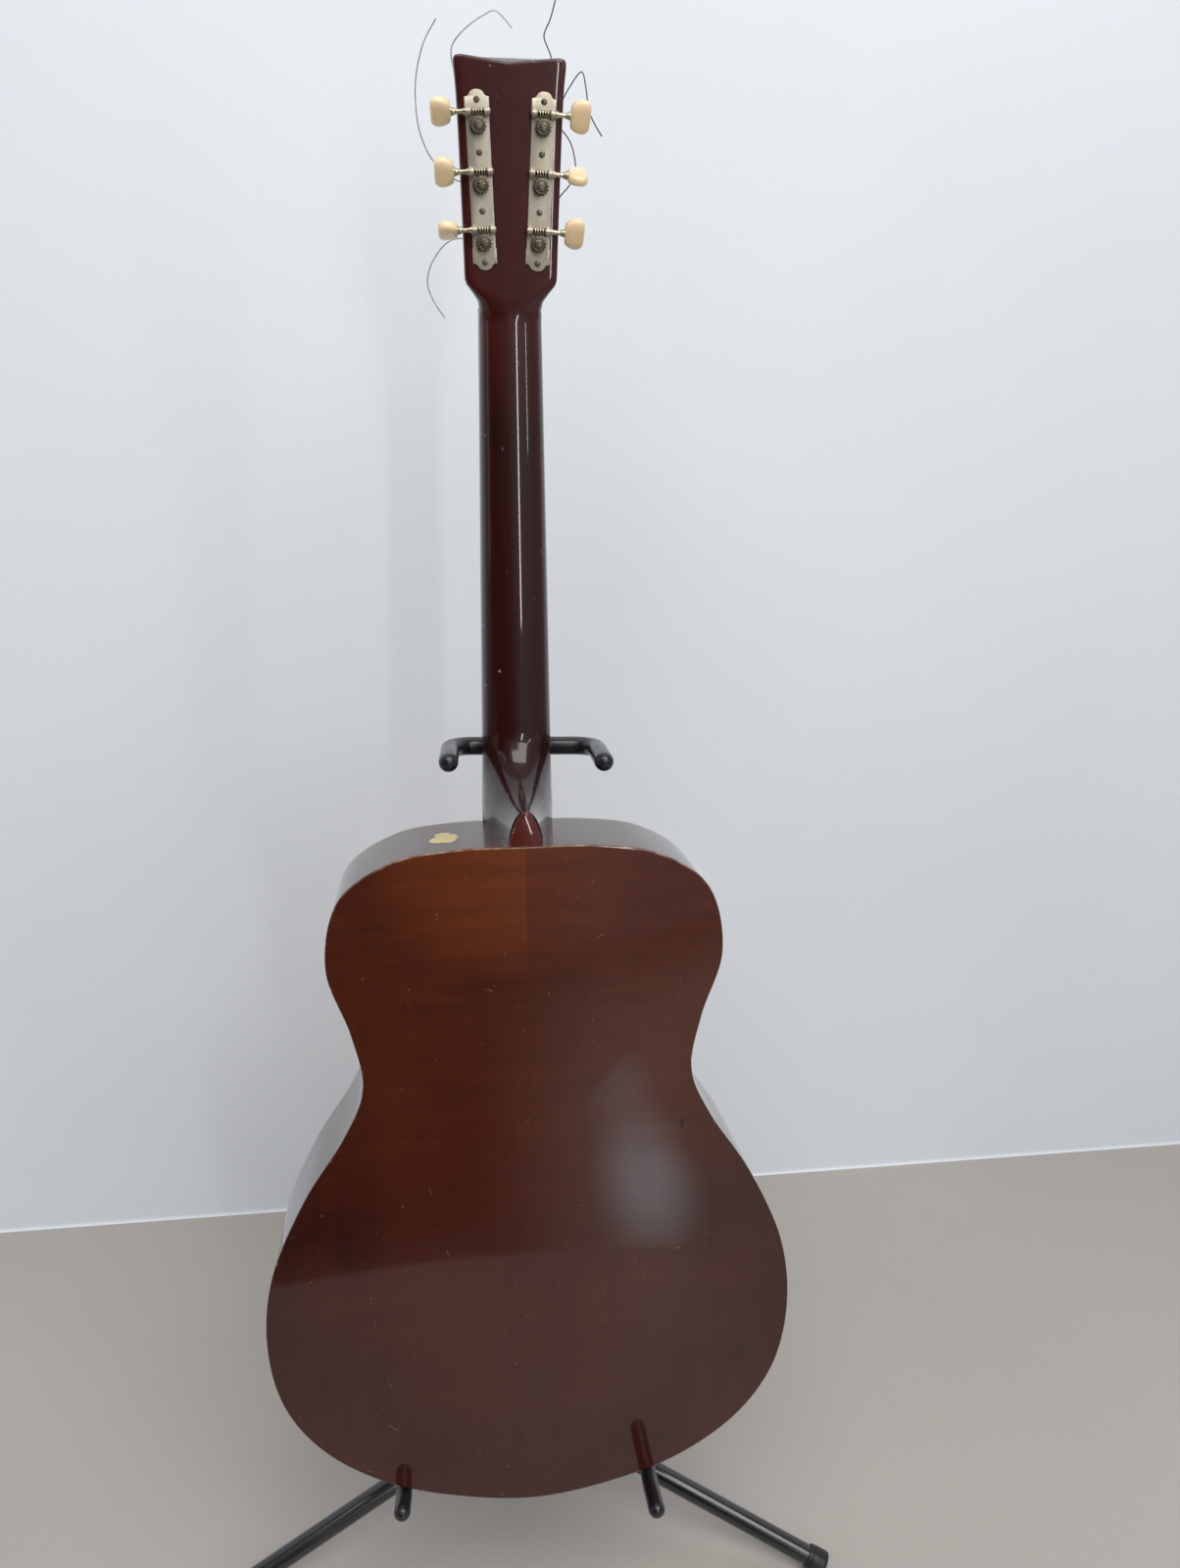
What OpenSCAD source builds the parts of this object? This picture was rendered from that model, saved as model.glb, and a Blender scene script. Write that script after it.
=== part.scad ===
// A steel-string guitar standing with its back to the front, in a folding
// tubular stand with a body yoke and a neck yoke.
// Millimetres, +Z up, the front of the stand faces -Y, floor at Z = 0.

/* [Guitar body] */
// Length of the body along its centreline
body_length = 505; // [500:1:510]
// Width of the lower bout
body_width = 380; // [376:1:384]
// Depth of the body at the tail
tail_depth = 105; // [103:1:107]
// Depth of the body at the neck joint
shoulder_depth = 84; // [82:1:86]
// Thickness of the sides
side_wall = 2.2; // [1.8:0.1:3]
// Thickness of the back
back_thickness = 3; // [2.5:0.1:3.5]
// Thickness of the soundboard
top_thickness = 2.8; // [2.5:0.1:3.2]
// Radius of the soundhole
soundhole_radius = 49; // [46:1:51]

/* [Neck and headstock] */
// Scale length, nut to saddle
scale_length = 634; // [632:1:636]
// Width of the fingerboard at the nut
nut_width = 42; // [40:0.5:44]
// Width of the fingerboard where it meets the body
join_width = 51; // [50:0.5:54]
// Depth of the neck wood under the fingerboard at the nut
neck_depth = 15.5; // [14:0.5:17]
// Length of the headstock from the nut
head_length = 142; // [140:1:146]
// Width of the headstock at its top
head_top_width = 70; // [68:0.5:72]
// Width of the headstock above its shoulders
head_low_width = 60; // [58:0.5:62]
// Thickness of the headstock wood
head_thickness = 14.5; // [13:0.5:16]
// Backward angle of the headstock
head_angle = 11; // [10:1:12]

/* [Tuning machines] */
// Distance between tuning posts
post_pitch = 33; // [32.5:0.5:34]
// Teeth on each gear
gear_teeth = 14; // [12:1:16]
// Length of a button along its shaft
button_length = 12.3; // [11:0.1:13]
// Width of a button across its broad side
button_width = 20; // [18:0.5:21]
// Thickness of a button
button_thickness = 8; // [6:0.5:9]

/* [How the guitar rests] */
// Height of the body's lowest edge above the floor
guitar_height = 140; // [140:1:142]

/* [Stand] */
// Distance from the hub to each foot
foot_reach = 268; // [260:1:275]
// Height of the leg pivots above the floor
pivot_height = 86; // [84:1:88]
// Angle of the front legs forward of sideways
front_leg_angle = 23; // [20:1:26]
// Diameter of the leg tubes
leg_diameter = 16; // [15:0.5:17]
// Half of the gap between the body yoke's arms
body_arm_x = 92; // [90:1:94]
// Half of the gap between the neck yoke's arms
neck_arm_x = 53.5; // [52:0.5:55]

/* [Hidden] */
$fn = 48;

// Where the guitar stands: its back's lowest point, its turn and its sideways tilt.
stand_y = -48.69;
guitar_at = [7, stand_y - 136, guitar_height];
guitar_turn = 2;
guitar_roll = -0.7;
guitar_lean = 8;

// Half of the body outline as [half width, distance from the tail].
HALF_OUTLINE = [
    [0, 0], [56, 7.5], [108, 24.5], [152, 54.5], [180, 95], [190, 146],
    [183.5, 200], [159, 256], [129.5, 302], [115, 338], [121.5, 378],
    [136, 425], [126, 472], [91, 497], [48, 504.5], [0, 505]
];
PICKGUARD_OUTLINE = [
    [-44, 388], [-53, 365], [-50, 338], [-58, 312], [-78, 292], [-96, 296],
    [-104, 318], [-98, 346], [-82, 374], [-58, 392]
];
top_slope = (tail_depth - shoulder_depth) / body_length;
top_tilt = atan(top_slope);
joint_gap = 0.05;

// Stations along the neck, measured from the tail on the soundboard's plane.
nut_z = 854.5;
nut_thickness = 4.5;
board_end_z = 418;
board_thickness = 5.8;
neck_foot_z = 566;
soundhole_z = 366;
saddle_z = nut_z - scale_length - 2.5;
fret_count = 19;

// Headstock frame.
head_base = [0, 52.4, 856];
veneer_thickness = 1.4;
head_front = head_thickness + veneer_thickness;
shoulder_l = 15;
notch_depth = 3.4;

// Tuners: the first post from the nut, and how the plates follow the sides.
first_post_l = 37.5;
plate_foot_x = 15.7;
plate_splay = 2.5;
plate_thickness = 1.2;
plate_width = 15.6;
plate_length = 102;
worm_offset = 7.5;
worm_height = 4.3;
worm_radius = 2;
shaft_radius = 1.4;
shaft_reach = 18;
gear_radius = 5.3;
gear_thickness = 2.8;
post_radius = 3;
string_radius = 0.5;
wire_radius = 0.4;
screw_radius = 1.25;
SCREW_OFFSETS = [-44.5, -14.5, 18.5, 47.5];
BUTTON_TURNS = [72, 44, 50, 32, 115, 30];

// Stand.
post_lean = 4;
floor_flat = 0.6;
pivot_radius = 27;
hub_radius = 18;
cap_radius = 9.8;
cap_length = 16;
lug_gap = 5.2;
tongue_thickness = 4.4;
pin_radius = 3;
post_radius_outer = 11;
post_radius_inner = 9.55;
support_radius = 9.5;
swage_radius = 7;
swage_length = 101;
sleeve_gap = 19;
lower_post_foot = -22;
lower_post_top = 218;
yoke_rod_radius = 4.5;
body_sleeve_radius = 6;
neck_sleeve_radius = 6.75;
yoke_bend = 22;
neck_bend = 17;
body_arm_drop = 10.5;
body_bar_n = 119;
hook_start = -4;
hook_angle = 12;
body_arm_tip_right = 34;
body_arm_tip_left = 18;
neck_bar_z = 677.5;
neck_arm_length = 68;
collar_z = lower_post_top - 24;
knob_z = collar_z + 17;

// Wire ends beyond the tuning posts, in the headstock's frame as [x, depth, length].
WIRE_ROUTES = [
    [[-22, 24, 38], [-32, 26, 41], [-42, 26, 37], [-51, 25, 25], [-54, 24, 13],
     [-50, 23, 2], [-43, 23, -8]],
    [[-24, 24, 71], [-37, 26, 77], [-49, 26, 87], [-56, 26, 102], [-58, 26, 118],
     [-57, 26, 134], [-52, 26, 151], [-44, 26, 164]],
    [[-25, 24, 104], [-30, 26, 122], [-34, 26, 138], [-35, 26, 148], [-31, 26, 155],
     [-23, 26, 162], [-15, 26, 167], [-8, 26, 170], [-3, 26, 167], [3, 26, 161]],
    [[22, 24, 38], [26, 26, 52], [33, 27, 66], [40, 27, 74], [44, 27, 82],
     [43, 27, 92], [40, 27, 100], [34, 27, 107]],
    [[24, 24, 71], [28, 28, 90], [31, 28, 108], [35, 28, 122], [40, 27, 131],
     [47, 26, 139], [50, 26, 130], [52, 26, 118], [56, 26, 110], [61, 26, 103]],
    [[25, 24, 104], [28, 26, 125], [28, 26, 144], [25, 26, 152], [23, 26, 158],
     [27, 26, 167], [30, 26, 177]]
];

// ---------------------------------------------------------------- functions

function mirrored(half) = concat(
    half,
    [for (i = [len(half) - 2 : -1 : 1]) [-half[i][0], half[i][1]]]
);

function spline_point(a, b, c, d, t) =
    0.5 * (2 * b + (c - a) * t + (2 * a - 5 * b + 4 * c - d) * t * t
           + (3 * b - a - 3 * c + d) * t * t * t);

// A smooth closed curve through the points, with k steps between each two.
function closed_curve(pts, k) = [
    for (i = [0 : len(pts) - 1], j = [0 : k - 1])
        spline_point(
            pts[(i + len(pts) - 1) % len(pts)], pts[i],
            pts[(i + 1) % len(pts)], pts[(i + 2) % len(pts)], j / k
        )
];

// A smooth open curve through the points.
function open_curve(pts, k) = concat(
    [for (i = [0 : len(pts) - 2], j = [0 : k - 1])
        spline_point(
            pts[max(i - 1, 0)], pts[i], pts[i + 1],
            pts[min(i + 2, len(pts) - 1)], j / k
        )],
    [pts[len(pts) - 1]]
);

function unit(v) = v / norm(v);

// The closed outline moved inward by d; the outline runs anticlockwise.
function inset(pts, d) = [
    for (i = [0 : len(pts) - 1])
        let (
            n = len(pts),
            along = unit(pts[(i + 1) % n] - pts[(i + n - 1) % n])
        )
        pts[i] + d * [-along[1], along[0]]
];

function body_outline() = closed_curve(
    mirrored([for (p = HALF_OUTLINE)
        [p[0] * body_width / 380, p[1] * body_length / 505]]),
    4
);

function board_width(z) = nut_width
    + (join_width - nut_width) * (nut_z - z) / (nut_z - body_length);

function fret_z(i) = nut_z - scale_length * (1 - pow(2, -i / 12));

// Half width and depth of the neck wood at a station.
function neck_half_width(z) = board_width(z) / 2;
function neck_wood_depth(z) = neck_depth + 3 * (nut_z - z) / (nut_z - neck_foot_z);

// One D-shaped ring of the neck, on the plane of the soundboard.
function neck_ring(z, w, d, k) = [
    for (i = [0 : k])
        let (a = 180 * i / k)
        [-w * cos(a), -d * pow(sin(a), 0.85), z]
];

// One pointed arch of the heel at depth y.
function heel_ring(y, w, tip, root, k) = [
    for (i = [0 : k])
        let (a = 180 * i / k, s = sin(a))
        [-w * cos(a) * (1 - 0.12 * s), y, root + (tip - root) * pow(s, 1.05)]
];

function loft_faces(rings, n) = concat(
    [[for (i = [0 : n - 1]) i]],
    [[for (i = [n - 1 : -1 : 0]) (rings - 1) * n + i]],
    [for (r = [0 : rings - 2], i = [0 : n - 1], half = [0, 1])
        half == 0
            ? [r * n + i, (r + 1) * n + i, (r + 1) * n + (i + 1) % n]
            : [r * n + i, (r + 1) * n + (i + 1) % n, r * n + (i + 1) % n]]
);

function post_l(i) = first_post_l + post_pitch * i;
function plate_x(l) = plate_foot_x + tan(plate_splay) * l;

// The machines: 1 to 3 on the left from the nut up, 4 to 6 on the right.
function tuner_side(k) = k < 3 ? -1 : 1;
function tuner_post(k) = [tuner_side(k) * plate_x(post_l(k % 3)), post_l(k % 3)];

function azimuth(k) = [180 + front_leg_angle, -front_leg_angle, 90][k];

// ---------------------------------------------------------------- helpers

// A plate of the outline, standing in X and Z, from depth y0 to y0 + t.
module standing_plate(y0, t) {
    translate([0, y0 + t, 0]) rotate([90, 0, 0]) linear_extrude(t) children();
}

// Puts a shape into the guitar's place on the stand.
module guitar_place() {
    translate(guitar_at)
        rotate([0, 0, guitar_turn])
            rotate([-guitar_lean, 0, 0])
                rotate([0, guitar_roll, 0])
                    children();
}

// The soundboard's own plane: y = 0 on its outer face.
module on_top() {
    translate([0, tail_depth, 0]) rotate([top_tilt, 0, 0]) children();
}

module head_place() {
    translate(head_base) rotate([head_angle, 0, 0]) children();
}

// The frame of one tuning machine: origin on the post's axis at the headstock's
// back face, +X outward along the shaft, +Y into the wood, +Z up the headstock.
module tuner_place(k) {
    at = tuner_post(k);
    head_place()
        translate([at[0], 0, at[1]])
            rotate([0, tuner_side(k) * plate_splay, 0])
                mirror([tuner_side(k) < 0 ? 1 : 0, 0, 0])
                    children();
}

// Everything below the soundboard's outer face moved in by d.
module under_top(d) {
    difference() {
        children();
        on_top() translate([-300, -d, -50]) cube([600, 100, 700]);
    }
}

module loft(rings, n) {
    polyhedron(
        points = [for (ring = rings, p = ring) p],
        faces = loft_faces(len(rings), n),
        convexity = 6
    );
}

// A round bar between two points.
module bar(p, q, r) {
    v = q - p;
    translate(p)
        rotate([0, acos(v[2] / norm(v)), atan2(v[1], v[0])])
            cylinder(r = r, h = norm(v));
}

// A cylinder along +Y from y0.
module rod_y(r, y0, h) {
    translate([0, y0, 0]) rotate([-90, 0, 0]) cylinder(r = r, h = h);
}

// A cylinder along +X from x0.
module rod_x(r, x0, h) {
    translate([x0, 0, 0]) rotate([0, 90, 0]) cylinder(r = r, h = h);
}

module rounded_rectangle(w, h, r) {
    square([w - 2 * r, h], center = true);
    square([w, h - 2 * r], center = true);
    for (x = [-1, 1], y = [-1, 1])
        translate([x * (w / 2 - r), y * (h / 2 - r)]) circle(r = r);
}

// ---------------------------------------------------------------- body

module back_plate() {
    color([0.30, 0.10, 0.05]) guitar_place()
        standing_plate(0, back_thickness) polygon(body_outline());
}

module sides() {
    color([0.22, 0.08, 0.05]) guitar_place() under_top(top_thickness)
        standing_plate(back_thickness, tail_depth) difference() {
            polygon(body_outline());
            polygon(inset(body_outline(), side_wall));
        }
}

module soundboard() {
    color([0.75, 0.52, 0.28]) guitar_place() difference() {
        under_top(0) standing_plate(50, 80) polygon(body_outline());
        on_top() translate([-300, -top_thickness - 200, -50]) cube([600, 200, 700]);
        on_top() translate([0, 0, soundhole_z]) rod_y(soundhole_radius, -10, 20);
    }
}

module lining_ring() {
    difference() {
        polygon(inset(body_outline(), side_wall));
        polygon(inset(body_outline(), side_wall + 5));
    }
}

module block_space() {
    translate([-37, -10, body_length - 28]) cube([74, 200, 60]);
    translate([-37, -10, -20]) cube([74, 200, 40]);
}

module linings() {
    color([0.70, 0.55, 0.38]) guitar_place() difference() {
        union() {
            standing_plate(back_thickness, 13) lining_ring();
            difference() {
                under_top(top_thickness) standing_plate(50, 80) lining_ring();
                on_top() translate([-300, -top_thickness - 213, -50]) cube([600, 200, 700]);
            }
        }
        block_space();
    }
}

module end_blocks() {
    color([0.62, 0.42, 0.25]) guitar_place() under_top(top_thickness)
        intersection() {
            standing_plate(back_thickness, tail_depth)
                polygon(inset(body_outline(), side_wall));
            union() {
                translate([-37, 0, body_length - 28]) cube([74, 200, 60]);
                translate([-37, 0, -20]) cube([74, 200, 40]);
            }
        }
}

module braces() {
    color([0.74, 0.60, 0.42]) guitar_place() difference() {
        intersection() {
            standing_plate(0, 200) polygon(inset(body_outline(), side_wall + 5.3));
            union() {
                for (z = [95, 190, 300, 410])
                    translate([-200, back_thickness, z - 4]) cube([400, 15, 8]);
                on_top() {
                    for (a = [-45, 45])
                        translate([0, 0, 285]) rotate([0, a, 0])
                            translate([-4, -top_thickness - 13, -240])
                                cube([8, 13, 480]);
                    for (z = [72, 440])
                        translate([-200, -top_thickness - 13, z - 4]) cube([400, 13, 8]);
                }
            }
        }
        block_space();
    }
}

module pickguard() {
    color([0.12, 0.06, 0.04]) guitar_place() on_top()
        standing_plate(0, 1) polygon(closed_curve(PICKGUARD_OUTLINE, 4));
}

module bridge_outline() {
    rounded_rectangle(150, 22, 9);
    translate([0, -8]) rounded_rectangle(76, 22, 9);
}

module bridge() {
    color([0.16, 0.09, 0.06]) guitar_place() on_top() translate([0, 0, saddle_z])
        difference() {
            standing_plate(0, 9) translate([0, -3]) bridge_outline();
            translate([-36, 5, -1.4]) cube([72, 10, 2.8]);
            for (i = [0 : 5]) translate([10.4 * (i - 2.5), 0, -11]) rod_y(2.4, 3, 10);
        }
}

module nut_and_saddle() {
    color([0.90, 0.86, 0.74]) guitar_place() on_top() {
        translate([-nut_width / 2, 0, nut_z]) cube([nut_width, 7.4, nut_thickness]);
        translate([-36, 5, saddle_z - 1.4]) cube([72, 7, 2.8]);
    }
}

module bridge_pins() {
    color([0.88, 0.84, 0.74]) guitar_place() on_top()
        for (i = [0 : 5]) translate([10.4 * (i - 2.5), 0, saddle_z - 11]) {
            rod_y(2.3, 3, 8);
            translate([0, 11, 0]) sphere(r = 3.2);
        }
}

module end_pin() {
    color([0.88, 0.84, 0.74]) guitar_place() translate([0, tail_depth / 2, 0]) {
        translate([0, 0, -3.2]) cylinder(r = 6, h = 3);
        translate([0, 0, -9]) cylinder(r = 3.5, h = 6);
        translate([0, 0, -12]) cylinder(r = 6.5, h = 3.5);
    }
}

// ---------------------------------------------------------------- neck

module neck_shaft() {
    stations = [neck_foot_z - 26, neck_foot_z, 620, 690, 760, 820, nut_z + 2];
    on_top() loft(
        [for (z = stations) neck_ring(z, neck_half_width(z), neck_wood_depth(z), 20)],
        21
    );
}

module heel() {
    // Each row is depth from the back, half width, and how far the arch reaches.
    levels = [
        [2.5, 11.5, 529], [12, 12.2, 530], [24, 13.5, 532], [36, 16, 537],
        [47, 19.5, 545], [56, 22.8, 556], [63, 25, 567]
    ];
    loft([for (v = levels) heel_ring(v[0], v[1], v[2], body_length - 1, 20)], 21);
    on_top() translate([-25.4, -20, body_length]) cube([50.8, 20, 36]);
}

module head_outline() {
    half = [
        [nut_width / 2 - 0.6, -2], [21.5, 3], [25, 8], [29, 13],
        [head_low_width / 2, shoulder_l + 1],
        [head_low_width / 2 + 0.6, 40], [head_top_width / 2 - 2.2, 110],
        [head_top_width / 2 - 1.3, 127], [head_top_width / 2 - 0.1, head_length - 5],
        [head_top_width / 2 - 0.2, head_length - 2.5], [head_top_width / 2 - 1, head_length - 0.8],
        [head_top_width / 2 - 2.8, head_length], [18, head_length - 1.2],
        [6, head_length - notch_depth + 0.6], [0, head_length - notch_depth]
    ];
    polygon(concat(half, [for (i = [len(half) - 2 : -1 : 0]) [-half[i][0], half[i][1]]]));
}

module neck() {
    color([0.20, 0.07, 0.05]) guitar_place() difference() {
        union() {
            neck_shaft();
            heel();
            head_place() standing_plate(0, head_thickness) head_outline();
        }
        for (k = [0 : 5])
            tuner_place(k) rod_y(4.2, -5, head_thickness + 15);
        for (side = [0, 3], z = SCREW_OFFSETS)
            tuner_place(side + 1) translate([0, 0, z]) rod_y(screw_radius + 0.02, -1, 9);
        on_top() translate([0, -5, 580]) cylinder(r = 2.6, h = 240);
        translate([-100, -50, 400]) cube([200, 300, body_length - 400 + 0.3]);
        on_top() translate([-100, 0, 400]) cube([200, 60, nut_z + 5 - 400]);
    }
}

module heel_cap() {
    color([0.30, 0.09, 0.06]) guitar_place() difference() {
        loft([for (y = [0, 2.4]) heel_ring(y, 11.5, 529, body_length - 1, 20)], 21);
        translate([-100, -50, 400]) cube([200, 300, body_length - 400 + 0.3]);
    }
}

module truss_rod() {
    color("gray") guitar_place() on_top()
        translate([0, -5, 581]) cylinder(r = 2.5, h = 238);
}

module fingerboard() {
    color([0.17, 0.09, 0.06]) guitar_place() on_top()
        standing_plate(0, board_thickness) polygon([
            for (p = [[1, board_end_z], [1, nut_z], [-1, nut_z], [-1, board_end_z]])
                [p[0] * board_width(p[1]) / 2, p[1]]
        ]);
}

module frets() {
    color("silver") guitar_place() on_top()
        for (i = [1 : fret_count]) {
            w = board_width(fret_z(i)) - 0.6;
            translate([-w / 2, board_thickness, fret_z(i) - 1]) cube([w, 1, 2]);
        }
}

module headstock_veneer() {
    color([0.05, 0.04, 0.04]) guitar_place() difference() {
        head_place() standing_plate(head_thickness, veneer_thickness) head_outline();
        for (k = [0 : 5]) tuner_place(k) rod_y(5.1, 0, 40);
        on_top() translate([-100, -60, nut_z - 30])
            cube([200, 100, 30 + nut_thickness + 0.2]);
    }
}

// ---------------------------------------------------------------- tuning machines

module plate_outline() {
    rounded_rectangle(plate_width, plate_length - 8, 2);
    for (z = [-1, 1]) translate([0, z * (plate_length / 2 - 5)]) circle(r = 5);
}

module tuner_plates() {
    color([0.72, 0.69, 0.62]) guitar_place() {
        for (side = [0, 3]) difference() {
            tuner_place(side + 1)
                translate([0, 0, 2]) standing_plate(-plate_thickness, plate_thickness)
                    plate_outline();
            for (k = [side : side + 2]) tuner_place(k) rod_y(post_radius + joint_gap, -5, 10);
            for (z = SCREW_OFFSETS)
                tuner_place(side + 1) translate([0, 0, z])
                    rod_y(screw_radius + joint_gap, -5, 10);
        }
        for (k = [0 : 5]) tuner_place(k) shaft_lugs();
    }
}

// The two ears of a plate that a worm shaft turns in.
module shaft_lugs() {
    for (x = [-7, 4.2]) difference() {
        union() {
            translate([x, -worm_height, worm_offset - 2.6])
                cube([2.4, worm_height - plate_thickness, 5.2]);
            translate([0, -worm_height, worm_offset]) rod_x(2.6, x, 2.4);
        }
        translate([0, -worm_height, worm_offset])
            rod_x(shaft_radius + joint_gap, x - 1, 5);
    }
}

module plate_screws() {
    color([0.55, 0.50, 0.42]) guitar_place()
        for (side = [0, 3], z = SCREW_OFFSETS)
            tuner_place(side + 1) translate([0, -plate_thickness, z]) {
                rod_y(screw_radius, 0, 9);
                rod_y(2.3, -0.8, 0.8);
            }
}

module post_bushings() {
    color("silver") guitar_place()
        for (k = [0 : 5]) tuner_place(k) difference() {
            union() {
                rod_y(4.15, head_front - 8, 8);
                rod_y(5, head_front - 0.8, 1.6);
            }
            rod_y(post_radius + joint_gap, 0, 40);
        }
}

module tuner_worm(k) {
    color([0.70, 0.66, 0.56]) guitar_place() tuner_place(k)
        translate([0, -worm_height, worm_offset]) {
            rod_x(shaft_radius, -7.6, shaft_reach + 7.6);
            for (x = [-3.6, -1.2, 1.2]) rod_x(worm_radius, x, 1.2);
        }
}

module tuner_button(k) {
    color([0.93, 0.83, 0.62]) guitar_place() tuner_place(k)
        translate([0, -worm_height, worm_offset])
            rotate([BUTTON_TURNS[k], 0, 0])
                difference() {
                    standing_plate(-button_thickness / 2, button_thickness)
                        translate([16.5 + button_length / 2, 0])
                            rounded_rectangle(button_length, button_width, 4);
                    rod_x(shaft_radius + 0.02, 10, shaft_reach - 10 + 0.1);
                }
}

module tuner_gear(k) {
    color([0.45, 0.36, 0.24]) guitar_place() tuner_place(k) {
        translate([0, -worm_height - gear_thickness / 2, 0])
            rotate([-90, 0, 0]) linear_extrude(gear_thickness) gear_outline();
        rod_y(3.6, -worm_height - gear_thickness / 2 - 1, 1.5);
        rod_y(post_radius, -worm_height, worm_height + head_front + 19);
        rod_y(post_radius + 1, head_front + 5, 4);
    }
}

module gear_outline() {
    circle(r = gear_radius - 1.2);
    for (i = [0 : gear_teeth - 1]) rotate(360 / gear_teeth * i)
        translate([gear_radius - 1.6, -0.5]) square([1.5, 1]);
}

// ---------------------------------------------------------------- strings

function string_x(i) = i - 2.5;

module strings() {
    // From the bass side: which machine each string goes to.
    machine = [3, 4, 5, 2, 1, 0];
    color("silver") guitar_place()
        for (i = [0 : 5]) {
            x_saddle = -string_x(i) * 10.4;
            x_nut = -string_x(i) * 7.2;
            at = tuner_post(machine[i]);
            inner = at[0] - sign(at[0]) * (post_radius + 1.8);
            p0 = top_point(x_saddle, 13.2, saddle_z);
            p1 = top_point(x_nut, 8.5, nut_z + nut_thickness / 2);
            p2 = head_point(inner, head_front + 7, at[1]);
            tail = top_point(x_saddle, 9.6, saddle_z - 7.4);
            bar(p0, p1, string_radius);
            bar(p1 + string_radius * unit(p2 - p1), p2, string_radius);
            bar(tail, p0 + string_radius * unit(tail - p0), string_radius);
        }
}

function top_point(x, y, z) = [
    x, tail_depth + y * cos(top_tilt) - z * sin(top_tilt),
    y * sin(top_tilt) + z * cos(top_tilt)
];

function head_point(x, d, l) = head_base + [
    x, d * cos(head_angle) - l * sin(head_angle), d * sin(head_angle) + l * cos(head_angle)
];

// A thin round wire along a smooth route, as one closed tube of eight sides.
module wire(route, r) {
    path = open_curve(route, 3);
    last = len(path) - 1;
    rings = [for (i = [0 : last])
        let (
            t = unit(path[min(i + 1, last)] - path[max(i - 1, 0)]),
            a = unit(cross(t, [0, 1, 0.3])),
            b = cross(t, a)
        )
        [for (j = [0 : 7]) path[i] + r * (cos(45 * j) * a + sin(45 * j) * b)]
    ];
    loft(rings, 8);
}

module string_end(k) {
    color([0.35, 0.33, 0.31]) guitar_place() head_place()
        wire(WIRE_ROUTES[k], wire_radius);
}

// ---------------------------------------------------------------- stand

// The hub's frame: origin on the post's axis at the height of the leg pivots.
module hub_place() {
    translate([0, stand_y, pivot_height]) children();
}

// The post's frame: +Z up the post, origin at the hub.
module post_place() {
    hub_place() rotate([-post_lean, 0, 0]) children();
}

// The frame of one leg: origin at its pivot, +X outward and down along the leg.
leg_drop = atan((pivot_height - cap_radius + floor_flat) / (foot_reach - pivot_radius));
leg_length = (foot_reach - pivot_radius) / cos(leg_drop);
module leg_place(k) {
    hub_place() rotate([0, 0, azimuth(k)]) translate([pivot_radius, 0, 0])
        rotate([0, leg_drop, 0]) children();
}

module lower_post() {
    color([0.07, 0.07, 0.08]) post_place() difference() {
        translate([0, 0, lower_post_foot])
            cylinder(r = post_radius_outer, h = lower_post_top - lower_post_foot);
        translate([0, 0, lower_post_foot - 1])
            cylinder(r = post_radius_inner, h = lower_post_top - lower_post_foot + 2);
        translate([0, 0, knob_z]) rod_y(3.4, 0, 20);
    }
}

module post_bore(r) {
    translate([0, stand_y, pivot_height]) rotate([-post_lean, 0, 0])
        translate([0, 0, -60]) cylinder(r = r, h = 200);
}

module leg_hub() {
    color([0.06, 0.06, 0.07]) difference() {
        union() {
            hub_place() translate([0, 0, -16]) cylinder(r = hub_radius, h = 34);
            hub_place() for (k = [0 : 2]) rotate([0, 0, azimuth(k)])
                for (side = [-1, 1])
                    translate([12, side * (lug_gap / 2 + 1.75) - 1.75, -9])
                        cube([pivot_radius - 12 + 8, 3.5, 18]);
            translate([-22, stand_y - 23, pivot_height + 38]) cube([44, 43, 24]);
            hub_place() translate([0, 2, 10]) cylinder(r = hub_radius, h = 40);
        }
        post_bore(post_radius_outer + 0.02);
        hub_place() for (k = [0 : 2]) rotate([0, 0, azimuth(k)])
            translate([pivot_radius, 30, 0]) rotate([90, 0, 0])
                cylinder(r = pin_radius + 0.02, h = 60);
        body_yoke_place() translate([0, body_bar_n, 0])
            rod_x(yoke_rod_radius + 0.02, -40, 80);
    }
}

module leg_pins() {
    color("silver") hub_place() for (k = [0 : 2]) rotate([0, 0, azimuth(k)])
        translate([pivot_radius, 0, 0]) {
            rotate([90, 0, 0]) cylinder(r = pin_radius, h = 14, center = true);
            for (side = [-1, 1]) translate([0, side * 7.2, 0])
                rotate([90, 0, 0]) cylinder(r = 4.6, h = 1.8, center = true);
        }
}

module leg(k) {
    color([0.05, 0.05, 0.06]) leg_place(k) difference() {
        union() {
            translate([0, tongue_thickness / 2, 0]) rotate([90, 0, 0])
                cylinder(r = 7.5, h = tongue_thickness);
            translate([0, -tongue_thickness / 2, -7.5]) cube([22, tongue_thickness, 15]);
            difference() {
                rod_x(leg_diameter / 2, 14, leg_length - 14);
                rod_x(leg_diameter / 2 - 1.3, 24, leg_length);
            }
        }
        rotate([90, 0, 0]) cylinder(r = pin_radius + joint_gap, h = 30, center = true);
    }
}

module foot_cap(k) {
    color([0.03, 0.03, 0.03]) difference() {
        leg_place(k) difference() {
            rod_x(cap_radius, leg_length - cap_length + 3, cap_length);
            rod_x(leg_diameter / 2 + 0.02, leg_length - cap_length - 1, cap_length + 1.02);
        }
        translate([-400, -400, -20]) cube([800, 800, 20]);
    }
}

// The yokes' frames: +Y runs back along the arms, level across.
module body_yoke_place() {
    translate([0, guitar_at[1], guitar_height])
        rotate([-guitar_lean, 0, 0]) translate([0, 0, body_arm_drop]) children();
}

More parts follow.
